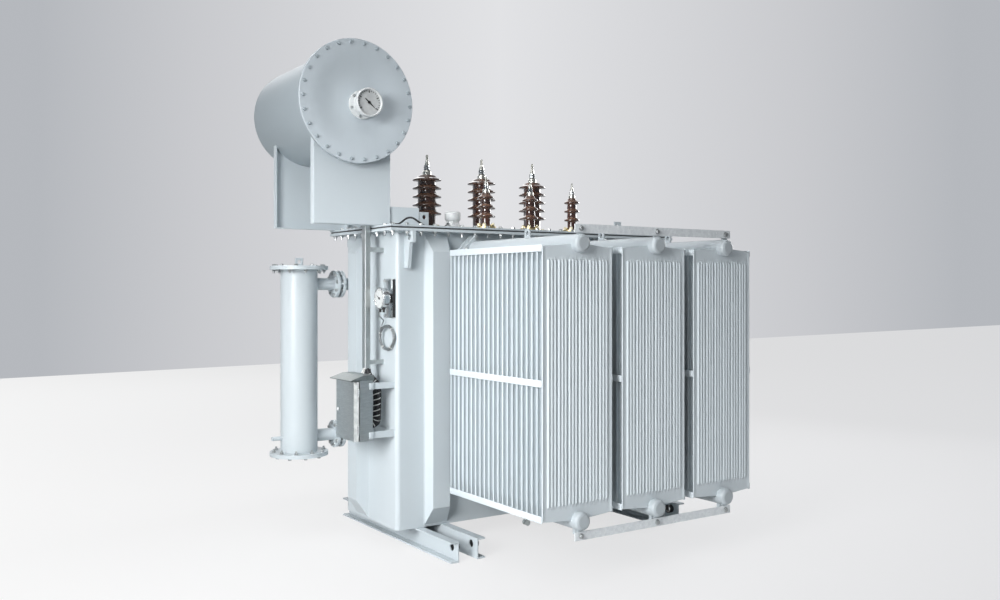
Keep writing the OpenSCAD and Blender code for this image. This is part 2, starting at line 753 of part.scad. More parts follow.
// Oil filter: a flanged vessel between two bolted covers, piped to the end wall at top and bottom
cock_d = 28;
cock_l = 70;
module filter_at(z) translate([filter_x, filter_y, z]) children();
module filter_vessel() {
    color(paint) placed() difference() {
        union() {
            filter_at(filter_low) cylinder(d = filter_d, h = filter_h);
            filter_at(filter_low) cylinder(d = filter_flange_d, h = filter_flange_t);
            filter_at(filter_top - filter_flange_t) cylinder(d = filter_flange_d, h = filter_flange_t);
            filter_at(filter_low + filter_pipe_in) rotate([0, 0, 180]) rod_x(cock_d, filter_d / 2 + cock_l);
        }
        filter_at(filter_low - 1) cylinder(d = filter_d - 2 * filter_t, h = filter_h + 2);
    }
}
module filter_top_cover() {
    color(paint) placed() {
        filter_at(filter_top) cylinder(d = filter_flange_d, h = filter_flange_t);
        filter_at(filter_top) translate([-eye_d / 2, -lug_t / 2, 0]) difference() {
            cube([eye_d, lug_t, filter_flange_t + eye_d]);
            translate([eye_d / 2, -1, filter_flange_t + eye_d / 2]) rod_y(eye_hole, lug_t + 2);
        }
    }
}
module filter_bottom_cover() {
    color(paint) placed() filter_at(filter_low - filter_flange_t)
        cylinder(d = filter_flange_d, h = filter_flange_t);
}
filter_valve_off = 118;
filter_valve_l = 60;
module filter_pipe(z) {
    valve_x = -tank_x - filter_valve_off - filter_valve_l / 2;
    difference() {
        union() {
            filter_at(z) rod_x(filter_pipe_d, filter_off);
            for (x = [valve_x, valve_x + filter_valve_l - pipe_flange_t])
                translate([x, filter_y, z]) rod_x(filter_valve_d, pipe_flange_t);
            translate([valve_x, filter_y, z]) rod_x(filter_valve_d * 0.7, filter_valve_l);
            translate([valve_x + filter_valve_l / 2, filter_y, z]) rotate([90, 0, 0])
                cylinder(d = spindle_d, h = filter_valve_d / 2 + spindle_l);
        }
        filter_at(filter_low) cylinder(d = filter_d + 2 * seat_gap, h = filter_h);
    }
}
module filter_top_pipe() color(paint) placed() filter_pipe(filter_pipe_z[1]);
module filter_bottom_pipe() color(paint) placed() filter_pipe(filter_pipe_z[0]);

// Control box: a sheet box open to the front, with fixed hinge knuckles and pins on its side
module control_box_body() {
    color(steel) placed() {
        difference() {
            translate([box_front, box_y0, box_low]) cube([box_d, box_w, box_h]);
            translate([box_front - 1, box_y0 + box_t, box_low + box_t])
                cube([box_d - box_t + 1, box_w - 2 * box_t, box_h - 2 * box_t]);
        }
        for (z = hinge_z) {
            translate([hinge_x, hinge_y, z]) cylinder(d = knuckle_d, h = knuckle_h);
            translate([hinge_x, hinge_y, z]) cylinder(d = hinge_pin_d, h = 2 * knuckle_h);
            translate([hinge_x, box_y0 - box_t, z]) cube([door_gap + box_d / 2, box_t, knuckle_h]);
        }
    }
}
module control_box_roof() {
    front = door_in - door_t - roof_out;
    back = box_x + box_t;
    color(steel) placed() translate([0, -box_y - box_w / 2, box_top]) sheet_xz(box_w + 6 * box_t) polygon([
        [front, 0], [back, 0], [back, roof_h], [front + box_d, roof_h], [front, box_t]
    ]);
}

// Control box door: a folded pan with hinge knuckles that turn on the fixed pins, and a lock
lock_d = 18;
lock_t = 8;
door_h = box_h - 2 * door_gap;
module control_box_door() {
    door_x = door_in - door_t;
    door_y = box_y0 + door_inset;
    door_end = -box_y;
    bevel = door_t - box_t / 2;
    color(steel) placed() difference() {
        union() {
            difference() {
                translate([0, 0, box_low]) linear_extrude(door_h) polygon([
                    [door_in, door_y], [door_in, door_end], [door_x, door_end],
                    [door_x, door_y + bevel], [door_in - box_t / 2, door_y]
                ]);
                translate([0, 0, box_low + box_t]) linear_extrude(door_h - 2 * box_t) polygon([
                    [door_x + box_t, door_y + bevel + box_t / 2], [door_x + box_t, door_end - box_t],
                    [door_in + 1, door_end - box_t], [door_in + 1, door_y + 2 * box_t]
                ]);
            }
            for (z = hinge_z) translate([hinge_x, hinge_y, z + knuckle_h + seat_gap]) {
                cylinder(d = knuckle_d, h = knuckle_h - seat_gap);
                translate([-box_t / 2, 0, 0])
                    cube([box_t, door_y - hinge_y + knuckle_d / 2 + box_t / 2, knuckle_h - seat_gap]);
            }
            translate([door_x - lock_t, -box_y - 2 * lock_d, box_low + door_h / 2])
                rod_x(lock_d, lock_t);
        }
        for (z = hinge_z) translate([hinge_x, hinge_y, z])
            cylinder(d = hinge_pin_d + 2 * pin_clear, h = 2 * knuckle_h + 1);
    }
}

// Control box brackets: two flat bars bent into a U from the end wall to the back of the box
arm_z = [box_low + arm_low, box_top - arm_high];
module control_box_brackets() {
    color(paint) placed() for (z = arm_z) {
        translate([-tank_x - arm_t, box_y0 + box_t, z]) cube([arm_t, box_w - 2 * box_t, arm_h]);
        for (y = [box_y0 + box_t, -box_y - box_t - arm_t])
            translate([box_x, y, z]) cube([box_off, arm_t, arm_h]);
    }
}

// Cable trunking: a square duct in front of the end wall, held by two clips
clip_h = 30;
module cable_trunking() {
    color(zinc) placed() translate([trunk_x, trunk_y, trunk_z]) {
        translate([-trunk_d / 2, -trunk_w / 2, 0]) cube([trunk_d, trunk_w, trunk_l]);
        for (z = [clip_h, flange_z - trunk_z - 5 * clip_h])
            translate([0, -trunk_w / 2, z]) cube([-tank_x - trunk_x, trunk_w / 3, clip_h]);
    }
}

// Cable bundle: one tube swept from the trunking to the back of the control box
bundle_sides = 10;
bundle_x = box_x + box_off * 0.49;
bundle_y = -box_y - box_w * 0.679;
bundle_steps = [
    [0, 0, 0], [0.1, 0.07, 0.07], [0.33, 0.29, 0.15], [0.71, 0.62, 0.2], [0.95, 0.9, 0.28],
    [1, 1, 0.43], [1, 1, 0.62], [1, 1, 0.78], [0.8, 1, 0.87]
];
bundle_route = concat(
    [for (s = bundle_steps) [
        trunk_x + s[0] * (bundle_x - trunk_x), trunk_y + s[1] * (bundle_y - trunk_y), trunk_z - s[2] * box_h
    ]],
    [[box_x + box_off * 0.21, bundle_y, trunk_z - box_h * 0.92], [box_x, bundle_y, trunk_z - box_h * 0.935]]
);
function unit(v) = v / norm(v);
function heading(p, i) = unit(p[min(i + 1, len(p) - 1)] - p[max(i - 1, 0)]);
function ring(p, i, r) = let (
    t = i == 0 ? [0, 0, -1] : i == len(p) - 1 ? [-1, 0, 0] : heading(p, i),
    u = unit(cross(t, [1, 1, -1])),
    v = cross(t, u)
) [for (k = [0:bundle_sides - 1]) let (a = 360 * k / bundle_sides) p[i] + r * (cos(a) * u + sin(a) * v)];
module tube(p, r) {
    n = bundle_sides;
    last = len(p) - 1;
    points = [for (i = [0:last]) each ring(p, i, r)];
    sides = [
        for (i = [0:last - 1], k = [0:n - 1]) let (a = i * n, b = a + n, next = (k + 1) % n)
            [a + k, a + next, b + next, b + k]
    ];
    ends = [[for (k = [n - 1:-1:0]) k], [for (k = [0:n - 1]) last * n + k]];
    polyhedron(points, concat(sides, ends));
}
module cable_bundle() color(dark) placed() tube(bundle_route, bundle_d / 2);

// Thermometer: a round dial on a plate on the end wall, with its capillary coiled below
thermo_plate_t = 6;
thermo_neck = 24;
thermo_case = 52;
thermo_y = -tank_y + thermo_in;
module thermometer() {
    color(white) placed() translate([-tank_x, thermo_y, flange_z - thermo_z]) {
        translate([-thermo_plate_t, -thermo_plate_w / 2, -thermo_plate_h / 2])
            cube([thermo_plate_t, thermo_plate_w, thermo_plate_h]);
        rotate([0, -90, 0]) cylinder(d = thermo_d / 3, h = thermo_plate_t + thermo_neck);
        translate([-thermo_plate_t - thermo_neck, 0, 0]) rotate([0, -90, 0])
            cylinder(d = thermo_d, h = thermo_case);
    }
}
module capillary_coil() {
    color(zinc) placed() translate([-tank_x, thermo_y, flange_z - coil_z]) {
        translate([-coil_t / 2 - seat_gap, 0, 0]) rotate([0, 90, 0]) rotate_extrude()
            translate([(coil_d - coil_t) / 2, 0]) circle(d = coil_t);
        translate([-coil_t, -coil_t / 2, (coil_d - 2 * coil_t) / 2]) cube([coil_t, coil_t, 1.5 * coil_t]);
    }
}

// Bushings: porcelain with a row of sheds, a clamp ring at the foot and a metal terminal on top
foot_wider = 9;
shed_edge = 6;
shed_drop = 8;
shed_rise = 20;
module shed_column(body_d, shed_d, shed_z, pitch, n) {
    top = shed_z + (n - 1) * pitch + shed_rise;
    rotate_extrude() polygon(concat(
        [[0, 0], [body_d / 2 + foot_wider, 0]],
        [[body_d / 2 + foot_wider, clamp_h], [body_d / 2, clamp_h + foot_wider]],
        [for (i = [0:n - 1]) let (z = shed_z + i * pitch) each [
            [body_d / 2, z - shed_edge - shed_drop], [shed_d / 2, z - shed_edge],
            [shed_d / 2, z], [body_d / 2 + shed_edge, z + shed_rise - 2]
        ]],
        [[body_d / 2, top + 4], [body_d * 0.4, top + 10], [0, top + 10]]
    ));
}
module clamp_ring(body_d) {
    foot_d = body_d + 2 * foot_wider;
    difference() {
        cylinder(d = foot_d + 2 * clamp_w, h = clamp_h - 4);
        translate([0, 0, -1]) cylinder(d = foot_d + 2 * seat_gap, h = clamp_h);
    }
}
module terminal(body_d, cap_h, stud_d, stud_l) {
    rotate_extrude() polygon([
        [0, 0], [body_d * 0.4, 0], [body_d * 0.4, cap_h * 0.6], [body_d * 0.25, cap_h],
        [stud_d / 2, cap_h], [stud_d / 2, cap_h + stud_l], [0, cap_h + stud_l]
    ]);
}
module hv_row(z) for (i = [-1:1]) translate([hv_x + i * hv_pitch, hv_y, cover_z + z]) children();
module lv_row(z) for (i = [-1:1]) translate([i * lv_pitch, lv_y, cover_z + z]) children();
hv_top = hv_shed_z + (hv_shed_n - 1) * hv_shed_pitch + shed_rise + 10;
lv_top = lv_shed_z + (lv_shed_n - 1) * lv_shed_pitch + shed_rise + 10;
module hv_porcelain() {
    color(glaze) placed() hv_row(0) shed_column(hv_body_d, hv_shed_d, hv_shed_z, hv_shed_pitch, hv_shed_n);
}
module lv_porcelain() {
    color(glaze) placed() lv_row(0) shed_column(lv_body_d, lv_shed_d, lv_shed_z, lv_shed_pitch, lv_shed_n);
}
module hv_clamps() color(passivated) placed() hv_row(0) clamp_ring(hv_body_d);
module lv_clamps() color(passivated) placed() lv_row(0) clamp_ring(lv_body_d);
module hv_terminals() color(zinc) placed() hv_row(hv_top) terminal(hv_body_d, hv_cap_h, hv_stud_d, hv_stud_l);
module lv_terminals() color(zinc) placed() lv_row(lv_top) terminal(lv_body_d, lv_cap_h, lv_stud_d, lv_stud_l);

// Pressure relief valve: a short neck under a wide cap
module pressure_relief_valve() {
    r = relief_d / 2;
    color(white) placed() translate([-relief_x, 0, cover_z]) rotate_extrude() polygon([
        [0, 0], [r * 0.95, 0], [r * 0.95, relief_h * 0.14], [r * 0.75, relief_h * 0.2],
        [r * 0.75, relief_h * 0.48], [r, relief_h * 0.55], [r, relief_h * 0.86],
        [r * 0.8, relief_h], [0, relief_h]
    ]);
}

left_outer_rail();
left_inner_rail();
right_inner_rail();
right_outer_rail();
tank_body();
cover_gasket();
tank_cover();
cover_lugs();
front_stiffeners();
rear_stiffeners();
end_stiffeners();
lifting_hooks();
front_left_fins();
front_left_headers();
front_middle_fins();
front_middle_headers();
front_right_fins();
front_right_headers();
rear_left_fins();
rear_left_headers();
rear_right_fins();
rear_right_headers();
front_valves();
rear_valves();
front_top_tie_bar();
front_bottom_tie_bar();
rear_top_tie_bar();
rear_bottom_tie_bar();
conservator_shell();
conservator_front_cover();
conservator_rear_end();
conservator_front_leg();
conservator_rear_leg();
oil_level_gauge();
oil_pipe();
gas_relay();
filter_vessel();
filter_top_cover();
filter_bottom_cover();
filter_top_pipe();
filter_bottom_pipe();
control_box_body();
control_box_roof();
control_box_door();
control_box_brackets();
cable_trunking();
cable_bundle();
thermometer();
capillary_coil();
hv_porcelain();
hv_clamps();
hv_terminals();
lv_porcelain();
lv_clamps();
lv_terminals();
pressure_relief_valve();
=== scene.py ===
import math
import bmesh
import bpy
import numpy as np
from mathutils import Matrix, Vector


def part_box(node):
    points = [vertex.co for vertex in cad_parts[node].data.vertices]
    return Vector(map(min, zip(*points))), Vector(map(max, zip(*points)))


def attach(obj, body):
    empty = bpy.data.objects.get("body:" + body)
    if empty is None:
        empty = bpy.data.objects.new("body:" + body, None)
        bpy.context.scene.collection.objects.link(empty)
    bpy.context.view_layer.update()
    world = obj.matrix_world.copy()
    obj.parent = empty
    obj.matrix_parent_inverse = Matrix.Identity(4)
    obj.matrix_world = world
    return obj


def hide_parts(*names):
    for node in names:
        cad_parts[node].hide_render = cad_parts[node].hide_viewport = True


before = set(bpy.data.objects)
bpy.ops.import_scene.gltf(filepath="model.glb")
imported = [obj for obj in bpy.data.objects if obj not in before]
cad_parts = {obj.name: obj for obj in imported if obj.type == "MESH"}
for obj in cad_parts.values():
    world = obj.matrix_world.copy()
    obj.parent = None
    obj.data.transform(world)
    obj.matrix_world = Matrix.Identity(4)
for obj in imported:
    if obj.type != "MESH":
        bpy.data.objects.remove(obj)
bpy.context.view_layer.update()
tankBody = "transformer"
doorBody = "control_box_door"
print("frame loaded:", len(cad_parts), "nodes")


# small helpers for boxes and places in the frame

def span(node):
    low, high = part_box(node)
    return np.array(low, float), np.array(high, float)


def middle(node):
    low, high = span(node)
    return (low + high) / 2


def outward(node):
    # -1 for a node at the front wall, 1 for one at the rear wall
    return -1.0 if span(node)[0][1] < 0 else 1.0


def pointRow(x, y, z):
    # points from coordinates, of which some may be single numbers
    return np.stack(np.broadcast_arrays(x, y, z), axis=-1)


def upBy(height):
    return np.array([0.0, 0.0, height])


# mesh arrays: a part is (points, faces), faces all quads; a triangle repeats its last corner

def gridFaces(rows, cols, closeRows=False, closeCols=False):
    # quad (i, j) joins grid point (i, j) with its neighbours at i + 1 and j + 1
    i = np.arange(rows if closeRows else rows - 1)
    j = np.arange(cols if closeCols else cols - 1)
    ii, jj = np.meshgrid(i, j, indexing="ij")
    nextRow, nextCol = (ii + 1) % rows, (jj + 1) % cols
    corners = [ii * cols + jj, ii * cols + nextCol, nextRow * cols + nextCol, nextRow * cols + jj]
    return np.stack(corners, axis=-1).reshape(-1, 4)


def joinParts(parts):
    points, faces, start = [], [], 0
    for p, f in parts:
        points.append(p)
        faces.append(f + start)
        start += len(p)
    return np.concatenate(points), np.concatenate(faces)


def copyParts(part, frames, places):
    # every copy is points @ frame + place, all copies at once
    points, faces = part
    allPoints = np.einsum("pk,nkc->npc", points, frames) + places[:, None, :]
    allFaces = faces[None] + (np.arange(len(places)) * len(points))[:, None, None]
    return allPoints.reshape(-1, 3), allFaces.reshape(-1, 4)


def axisFrame(axis, spin=0.0):
    # rows are the images of local x, y and z, with local z along the axis
    z = np.array(axis, float)
    z /= np.linalg.norm(z)
    side = np.array([0.0, 0.0, 1.0]) if abs(z[2]) < 0.9 else np.array([1.0, 0.0, 0.0])
    x = np.cross(side, z)
    x /= np.linalg.norm(x)
    y = np.cross(z, x)
    c, s = math.cos(spin), math.sin(spin)
    return np.array([c * x + s * y, c * y - s * x, z])


def placePart(part, axis, place):
    return copyParts(part, axisFrame(axis)[None], np.asarray(place, float)[None])


def lathe(profile, sides=48):
    # a profile of (radius, height) carried round the local z axis
    profile = np.asarray(profile, float)
    angle = 2 * math.pi * np.arange(sides) / sides
    radius, height = profile[:, 0], profile[:, 1]
    x = np.cos(angle)[:, None] * radius
    y = np.sin(angle)[:, None] * radius
    return pointRow(x, y, height).reshape(-1, 3), gridFaces(sides, len(profile), closeRows=True)


def rod(radius, height, sides):
    return lathe([(0.0, 0.0), (radius, 0.0), (radius, height), (0.0, height)], sides)


def collar(inner, outer, start, end, sides):
    return lathe([(inner, start), (outer, start), (outer, end), (inner, end), (inner, start)], sides)


def rounded(corners, radius, steps=4, closed=False):
    # each corner of an outline becomes a short arc, a quadratic curve between its two tangent points
    p = np.asarray(corners, float)
    r = np.broadcast_to(np.reshape(radius, (-1, 1)), (len(p), 1))
    tangents = []
    for shift in (1, -1):
        toNext = np.roll(p, shift, axis=0) - p
        length = np.linalg.norm(toNext, axis=1, keepdims=True) + 1e-12
        tangents.append((p + toNext / length * np.minimum(r, length * 0.45))[:, None])
    start, end = tangents
    t = np.linspace(0, 1, steps + 1)[None, :, None]
    arcs = (1 - t) ** 2 * start + 2 * t * (1 - t) * p[:, None] + t ** 2 * end
    if closed:
        return arcs.reshape(-1, p.shape[1])
    return np.concatenate([p[:1], arcs[1:-1].reshape(-1, p.shape[1]), p[-1:]])


def pathFrame(path, closed=False):
    # a normal and a binormal at each point, turned as little as possible from point to point
    path = np.asarray(path, float)
    ahead = np.roll(path, -1, axis=0) - np.roll(path, 1, axis=0)
    if not closed:
        ahead[0], ahead[-1] = path[1] - path[0], path[-1] - path[-2]
    ahead /= np.linalg.norm(ahead, axis=1, keepdims=True)
    normal = np.zeros_like(path)
    guess = np.array([0.31, 0.52, 0.79])
    for i, t in enumerate(ahead):
        guess = guess - t * guess.dot(t)
        guess /= np.linalg.norm(guess)
        normal[i] = guess
    return normal, np.cross(ahead, normal)


def tube(path, radius, sides=10, closed=False):
    # a circle carried along a path, its two ends closed by a fan
    path = np.asarray(path, float)
    normal, binormal = pathFrame(path, closed)
    angle = (2 * math.pi * np.arange(sides) / sides)[None, :, None]
    ring = np.cos(angle) * normal[:, None] + np.sin(angle) * binormal[:, None]
    points = (path[:, None] + radius * ring).reshape(-1, 3)
    faces = gridFaces(len(path), sides, closeRows=closed, closeCols=True)
    if closed:
        return points, faces
    count, k = len(points), np.arange(sides)
    following, last = (k + 1) % sides, count - sides
    hubs = [np.full(sides, count), np.full(sides, count + 1)]
    capStart = np.stack([following, k, hubs[0], hubs[0]], axis=-1)
    capEnd = np.stack([last + k, last + following, hubs[1], hubs[1]], axis=-1)
    return np.concatenate([points, path[[0, -1]]]), np.concatenate([faces, capStart, capEnd])


def smoothPath(corners, steps=8):
    # a Catmull-Rom curve through given points
    p = np.asarray(corners, float)
    q = np.concatenate([2 * p[:1] - p[1:2], p, 2 * p[-1:] - p[-2:-1]])
    t = np.linspace(0, 1, steps, endpoint=False)[None, :, None]
    a, b, c, d = (q[k:len(q) - 3 + k, None] for k in range(4))
    curve = 0.5 * (2 * b + (c - a) * t + (2 * a - 5 * b + 4 * c - d) * t ** 2 + (3 * b - a - 3 * c + d) * t ** 3)
    return np.concatenate([curve.reshape(-1, p.shape[1]), p[-1:]])


def roundedBox(low, high, edge, steps=3):
    # a box whose twelve edges are rounded: a sphere grid pushed out along the three axes
    low, high = np.asarray(low, float), np.asarray(high, float)
    edge = min(edge, (high - low).min() * 0.49)
    quarter = np.linspace(0, math.pi / 2, steps + 1)
    around = np.concatenate([quarter + k * math.pi / 2 for k in range(4)])
    upDown = np.concatenate([quarter - math.pi / 2, quarter])
    u, v = np.meshgrid(upDown, around, indexing="ij")
    ball = pointRow(np.cos(u) * np.cos(v), np.cos(u) * np.sin(v), np.sin(u))
    signX, signY = (np.repeat(signs, steps + 1) for signs in ([1.0, -1.0, -1.0, 1.0], [1.0, 1.0, -1.0, -1.0]))
    signZ = np.repeat([-1.0, 1.0], steps + 1)
    push = pointRow(signX, signY, signZ[:, None])
    centre, half = (low + high) / 2, (high - low) / 2 - edge
    points = (centre + push * half + edge * ball).reshape(-1, 3)
    rows, cols = len(upDown), len(around)
    corner = np.arange(4) * (steps + 1)
    ends = np.array([corner[::-1], (rows - 1) * cols + corner])
    return points, np.concatenate([gridFaces(rows, cols, closeCols=True), ends])


def addPiece(name, parts, material, body=tankBody, instead=(), sharp=38):
    points, faces = joinParts(parts) if isinstance(parts, list) else parts
    mesh = bpy.data.meshes.new(name)
    single = faces[:, 2] == faces[:, 3]
    loops = np.where(single, 3, 4)
    keep = np.ones(faces.shape, bool)
    keep[single, 3] = False
    mesh.vertices.add(len(points))
    mesh.vertices.foreach_set("co", points.astype(np.float32).ravel())
    mesh.loops.add(int(loops.sum()))
    mesh.loops.foreach_set("vertex_index", faces[keep].astype(np.int32))
    mesh.polygons.add(len(faces))
    mesh.polygons.foreach_set("loop_start", np.concatenate([[0], np.cumsum(loops)[:-1]]).astype(np.int32))
    mesh.update(calc_edges=True)
    shape = bmesh.new()   # close seams and poles, then turn every face outwards
    shape.from_mesh(mesh)
    bmesh.ops.remove_doubles(shape, verts=shape.verts, dist=1e-6)
    bmesh.ops.recalc_face_normals(shape, faces=shape.faces)
    shape.to_mesh(mesh)
    shape.free()
    mesh.validate()
    mesh.shade_smooth()
    mesh.set_sharp_from_angle(angle=math.radians(sharp))
    mesh.materials.append(material)
    piece = bpy.data.objects.new(name, mesh)
    bpy.context.scene.collection.objects.link(piece)
    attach(piece, body)
    for node in instead:
        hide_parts(node)


# shader building blocks; each one gives back the socket that it puts out

def fill(tree, node, values):
    # a value that is another node's socket is linked, any other value is set
    for key, value in values.items():
        if isinstance(value, bpy.types.NodeSocket):
            tree.links.new(value, node.inputs[key])
        else:
            node.inputs[key].default_value = value


def addNode(tree, kind, values=None, **settings):
    made = tree.nodes.new(kind)
    for key, value in settings.items():
        setattr(made, key, value)
    fill(tree, made, values or {})
    return made


def newMaterial(name):
    material = bpy.data.materials.new(name)
    material.use_nodes = True
    tree = material.node_tree
    return material, tree, tree.nodes["Principled BSDF"]


def objectPlace(tree):
    return addNode(tree, "ShaderNodeTexCoord").outputs["Object"]


def stretched(tree, scale):
    return addNode(tree, "ShaderNodeMapping", {"Vector": objectPlace(tree), "Scale": scale}).outputs["Vector"]


def noise(tree, place, scale, detail, roughness=0.5, distortion=0.0):
    values = {"Vector": place, "Scale": scale, "Detail": detail, "Roughness": roughness, "Distortion": distortion}
    return addNode(tree, "ShaderNodeTexNoise", values).outputs["Fac"]


def ranged(tree, source, low, high, fromLow=0.0, fromHigh=1.0):
    values = {"Value": source, "From Min": fromLow, "From Max": fromHigh, "To Min": low, "To Max": high}
    return addNode(tree, "ShaderNodeMapRange", values).outputs["Result"]


def calculate(tree, operation, *values, clamp=False):
    given = dict(enumerate(values))
    return addNode(tree, "ShaderNodeMath", given, operation=operation, use_clamp=clamp).outputs[0]


def mixed(tree, factor, first, second):
    # sockets 6, 7 and 2 are the colours of a mix node
    return addNode(tree, "ShaderNodeMix", {"Factor": factor, 6: first, 7: second}, data_type="RGBA").outputs[2]


def bumped(tree, height, strength, distance, normal=None):
    values = {"Height": height, "Strength": strength, "Distance": distance}
    if normal:
        values["Normal"] = normal
    return addNode(tree, "ShaderNodeBump", values).outputs["Normal"]


def softEdges(tree, radius):
    return addNode(tree, "ShaderNodeBevel", {"Radius": radius}, samples=4).outputs["Normal"]


def ramp(tree, source, stops):
    made = addNode(tree, "ShaderNodeValToRGB", {"Fac": source})
    elements = made.color_ramp.elements
    while len(elements) < len(stops):
        elements.new(0.5)
    for element, (place, colour) in zip(elements, stops):
        element.position = place
        element.color = (*colour, 1.0)
    return made.outputs["Color"]


def newGroup(name, inputs, outputs):
    group = bpy.data.node_groups.new(name, "ShaderNodeTree")
    for label, kind, value in inputs:
        socket = group.interface.new_socket(name=label, in_out="INPUT", socket_type=kind)
        socket.default_value = value
    for label, kind in outputs:
        group.interface.new_socket(name=label, in_out="OUTPUT", socket_type=kind)
    return group, group.nodes.new("NodeGroupInput").outputs, group.nodes.new("NodeGroupOutput")


def makeWeathering():
    # soft clouds of tone and faint vertical rain streaks
    group, given, result = newGroup(
        "weathering",
        [("Colour", "NodeSocketColor", (0.7, 0.7, 0.7, 1)), ("Dirt", "NodeSocketColor", (0.4, 0.42, 0.42, 1)),
         ("Clouds", "NodeSocketFloat", 0.3), ("Streaks", "NodeSocketFloat", 0.2)],
        [("Colour", "NodeSocketColor"), ("Mask", "NodeSocketFloat")])
    black, white = (0, 0, 0), (1, 1, 1)
    upright = stretched(group, (26.0, 26.0, 0.9))
    cloud = noise(group, objectPlace(group), scale=1.7, detail=5.0, roughness=0.6)
    streak = noise(group, upright, scale=1.0, detail=4.0, roughness=0.7)
    cloud = ramp(group, cloud, [(0.42, black), (0.75, white)])
    streak = ramp(group, streak, [(0.55, black), (0.8, white)])
    mask = calculate(group, "ADD", calculate(group, "MULTIPLY", cloud, given["Clouds"]),
                     calculate(group, "MULTIPLY", streak, given["Streaks"]), clamp=True)
    fill(group, result, {"Colour": mixed(group, mask, given["Colour"], given["Dirt"]), "Mask": mask})
    return group


def makeSprayedSurface():
    # the fine ripple of sprayed enamel over plate that is not quite flat
    group, given, result = newGroup(
        "sprayed_surface",
        [("Ripple", "NodeSocketFloat", 0.1), ("Dents", "NodeSocketFloat", 0.3), ("Edge", "NodeSocketFloat", 0.003)],
        [("Normal", "NodeSocketVector")])
    place = objectPlace(group)
    broad = noise(group, place, scale=3.2, detail=3.0)
    fine = noise(group, place, scale=420.0, detail=2.0)
    dents = bumped(group, broad, given["Dents"], distance=0.004, normal=softEdges(group, given["Edge"]))
    fill(group, result, {"Normal": bumped(group, fine, given["Ripple"], distance=0.0004, normal=dents)})
    return group


weathering = makeWeathering()
sprayedSurface = makeSprayedSurface()

# colour, clouds, streaks, roughness from and to, and the skin's ripple, dents and edge
enamel = {
    "tank": ((0.505, 0.558, 0.588), 0.16, 0.12, (0.34, 0.50), (0.22, 0.35, 0.004)),
    "fin": ((0.600, 0.662, 0.698), 0.10, 0.06, (0.32, 0.46), (0.08, 0.05, 0.0)),
    # header: the fin enamel made darker, painted shade on the radiator headers
    "header": ((0.430, 0.475, 0.502), 0.16, 0.10, (0.38, 0.55), (0.22, 0.30, 0.004)),
    "conservator": ((0.580, 0.645, 0.690), 0.16, 0.10, (0.38, 0.55), (0.22, 0.30, 0.004)),
    # conservator_shell: the conservator enamel made darker, painted shade on the shell, its rear end and the cover's
    # bolts
    "conservator_shell": ((0.385, 0.445, 0.480), 0.16, 0.10, (0.36, 0.52), (0.22, 0.30, 0.004)),
    "filter": ((0.530, 0.585, 0.615), 0.14, 0.14, (0.30, 0.46), (0.20, 0.25, 0.003)),
}
dirtColour = (0.44, 0.50, 0.52, 1)


def makeEnamel(kind):
    colour, clouds, streaks, rough, (ripple, dents, edge) = enamel[kind]
    material, tree, shader = newMaterial(kind + "_enamel")
    look = {"Colour": (*colour, 1), "Dirt": dirtColour, "Clouds": clouds, "Streaks": streaks}
    tone = addNode(tree, "ShaderNodeGroup", look, node_tree=weathering).outputs
    look = {"Ripple": ripple, "Dents": dents, "Edge": edge}
    skin = addNode(tree, "ShaderNodeGroup", look, node_tree=sprayedSurface).outputs
    fill(tree, shader, {"Base Color": tone["Colour"], "Roughness": ranged(tree, tone["Mask"], *rough),
                        "Normal": skin["Normal"], "Specular IOR Level": 0.45})
    return material


def makeMetal(name, light, deep, scale, rough, stretch=(1, 1, 1), bump=0.15, metallic=1.0):
    # bare or plated metal: patches of tone, a stretched grain and a matching bump
    material, tree, shader = newMaterial(name)
    place = stretched(tree, stretch)
    patch = addNode(tree, "ShaderNodeTexVoronoi", {"Vector": place, "Scale": scale})
    grain = noise(tree, place, scale * 2.5, detail=6.0, roughness=0.65)
    blend = mixed(tree, 0.6, patch.outputs["Color"], grain.node.outputs["Color"])
    fill(tree, shader, {"Base Color": ramp(tree, blend, [(0.25, deep), (0.75, light)]),
                        "Roughness": ranged(tree, grain, *rough), "Metallic": metallic,
                        "Normal": bumped(tree, grain, bump, distance=0.0006, normal=softEdges(tree, radius=0.0015))})
    return material


def makeGlaze(name, deep, light, shedBounceColour):
    # fired brown glaze in darker runs under a clear coat; faces that point up or down, the sheds, get a paler brown,
    # painted light for light bounced onto them
    material, tree, shader = newMaterial(name)
    runs = noise(tree, objectPlace(tree), scale=14.0, detail=4.0, distortion=0.6)
    tone = ramp(tree, runs, [(0.3, deep), (0.72, light)])
    facing = addNode(tree, "ShaderNodeNewGeometry").outputs["True Normal"]
    upright = addNode(tree, "ShaderNodeSeparateXYZ", {"Vector": facing}).outputs["Z"]
    shedBounce = ranged(tree, calculate(tree, "ABSOLUTE", upright), 0.0, 1.0, fromLow=0.25, fromHigh=0.8)
    fill(tree, shader, {"Base Color": mixed(tree, shedBounce, tone, (*shedBounceColour, 1.0)),
                        "Roughness": ranged(tree, runs, low=0.10, high=0.24),
                        "Normal": bumped(tree, runs, strength=0.12, distance=0.001),
                        "Coat Weight": 0.8, "Coat Roughness": 0.06})
    return material


def makeMatt(name, colour, deep, scale=60.0, rough=(0.5, 0.75), bump=0.2):
    # rubber, cable jacket, cast plastic: a fine speckle of tone and a leathery bump
    material, tree, shader = newMaterial(name)
    speck = noise(tree, objectPlace(tree), scale, detail=4.0)
    fill(tree, shader, {"Base Color": ramp(tree, speck, [(0.35, deep), (0.65, colour)]),
                        "Roughness": ranged(tree, speck, *rough), "Normal": bumped(tree, speck, bump, distance=0.0005)})
    return material


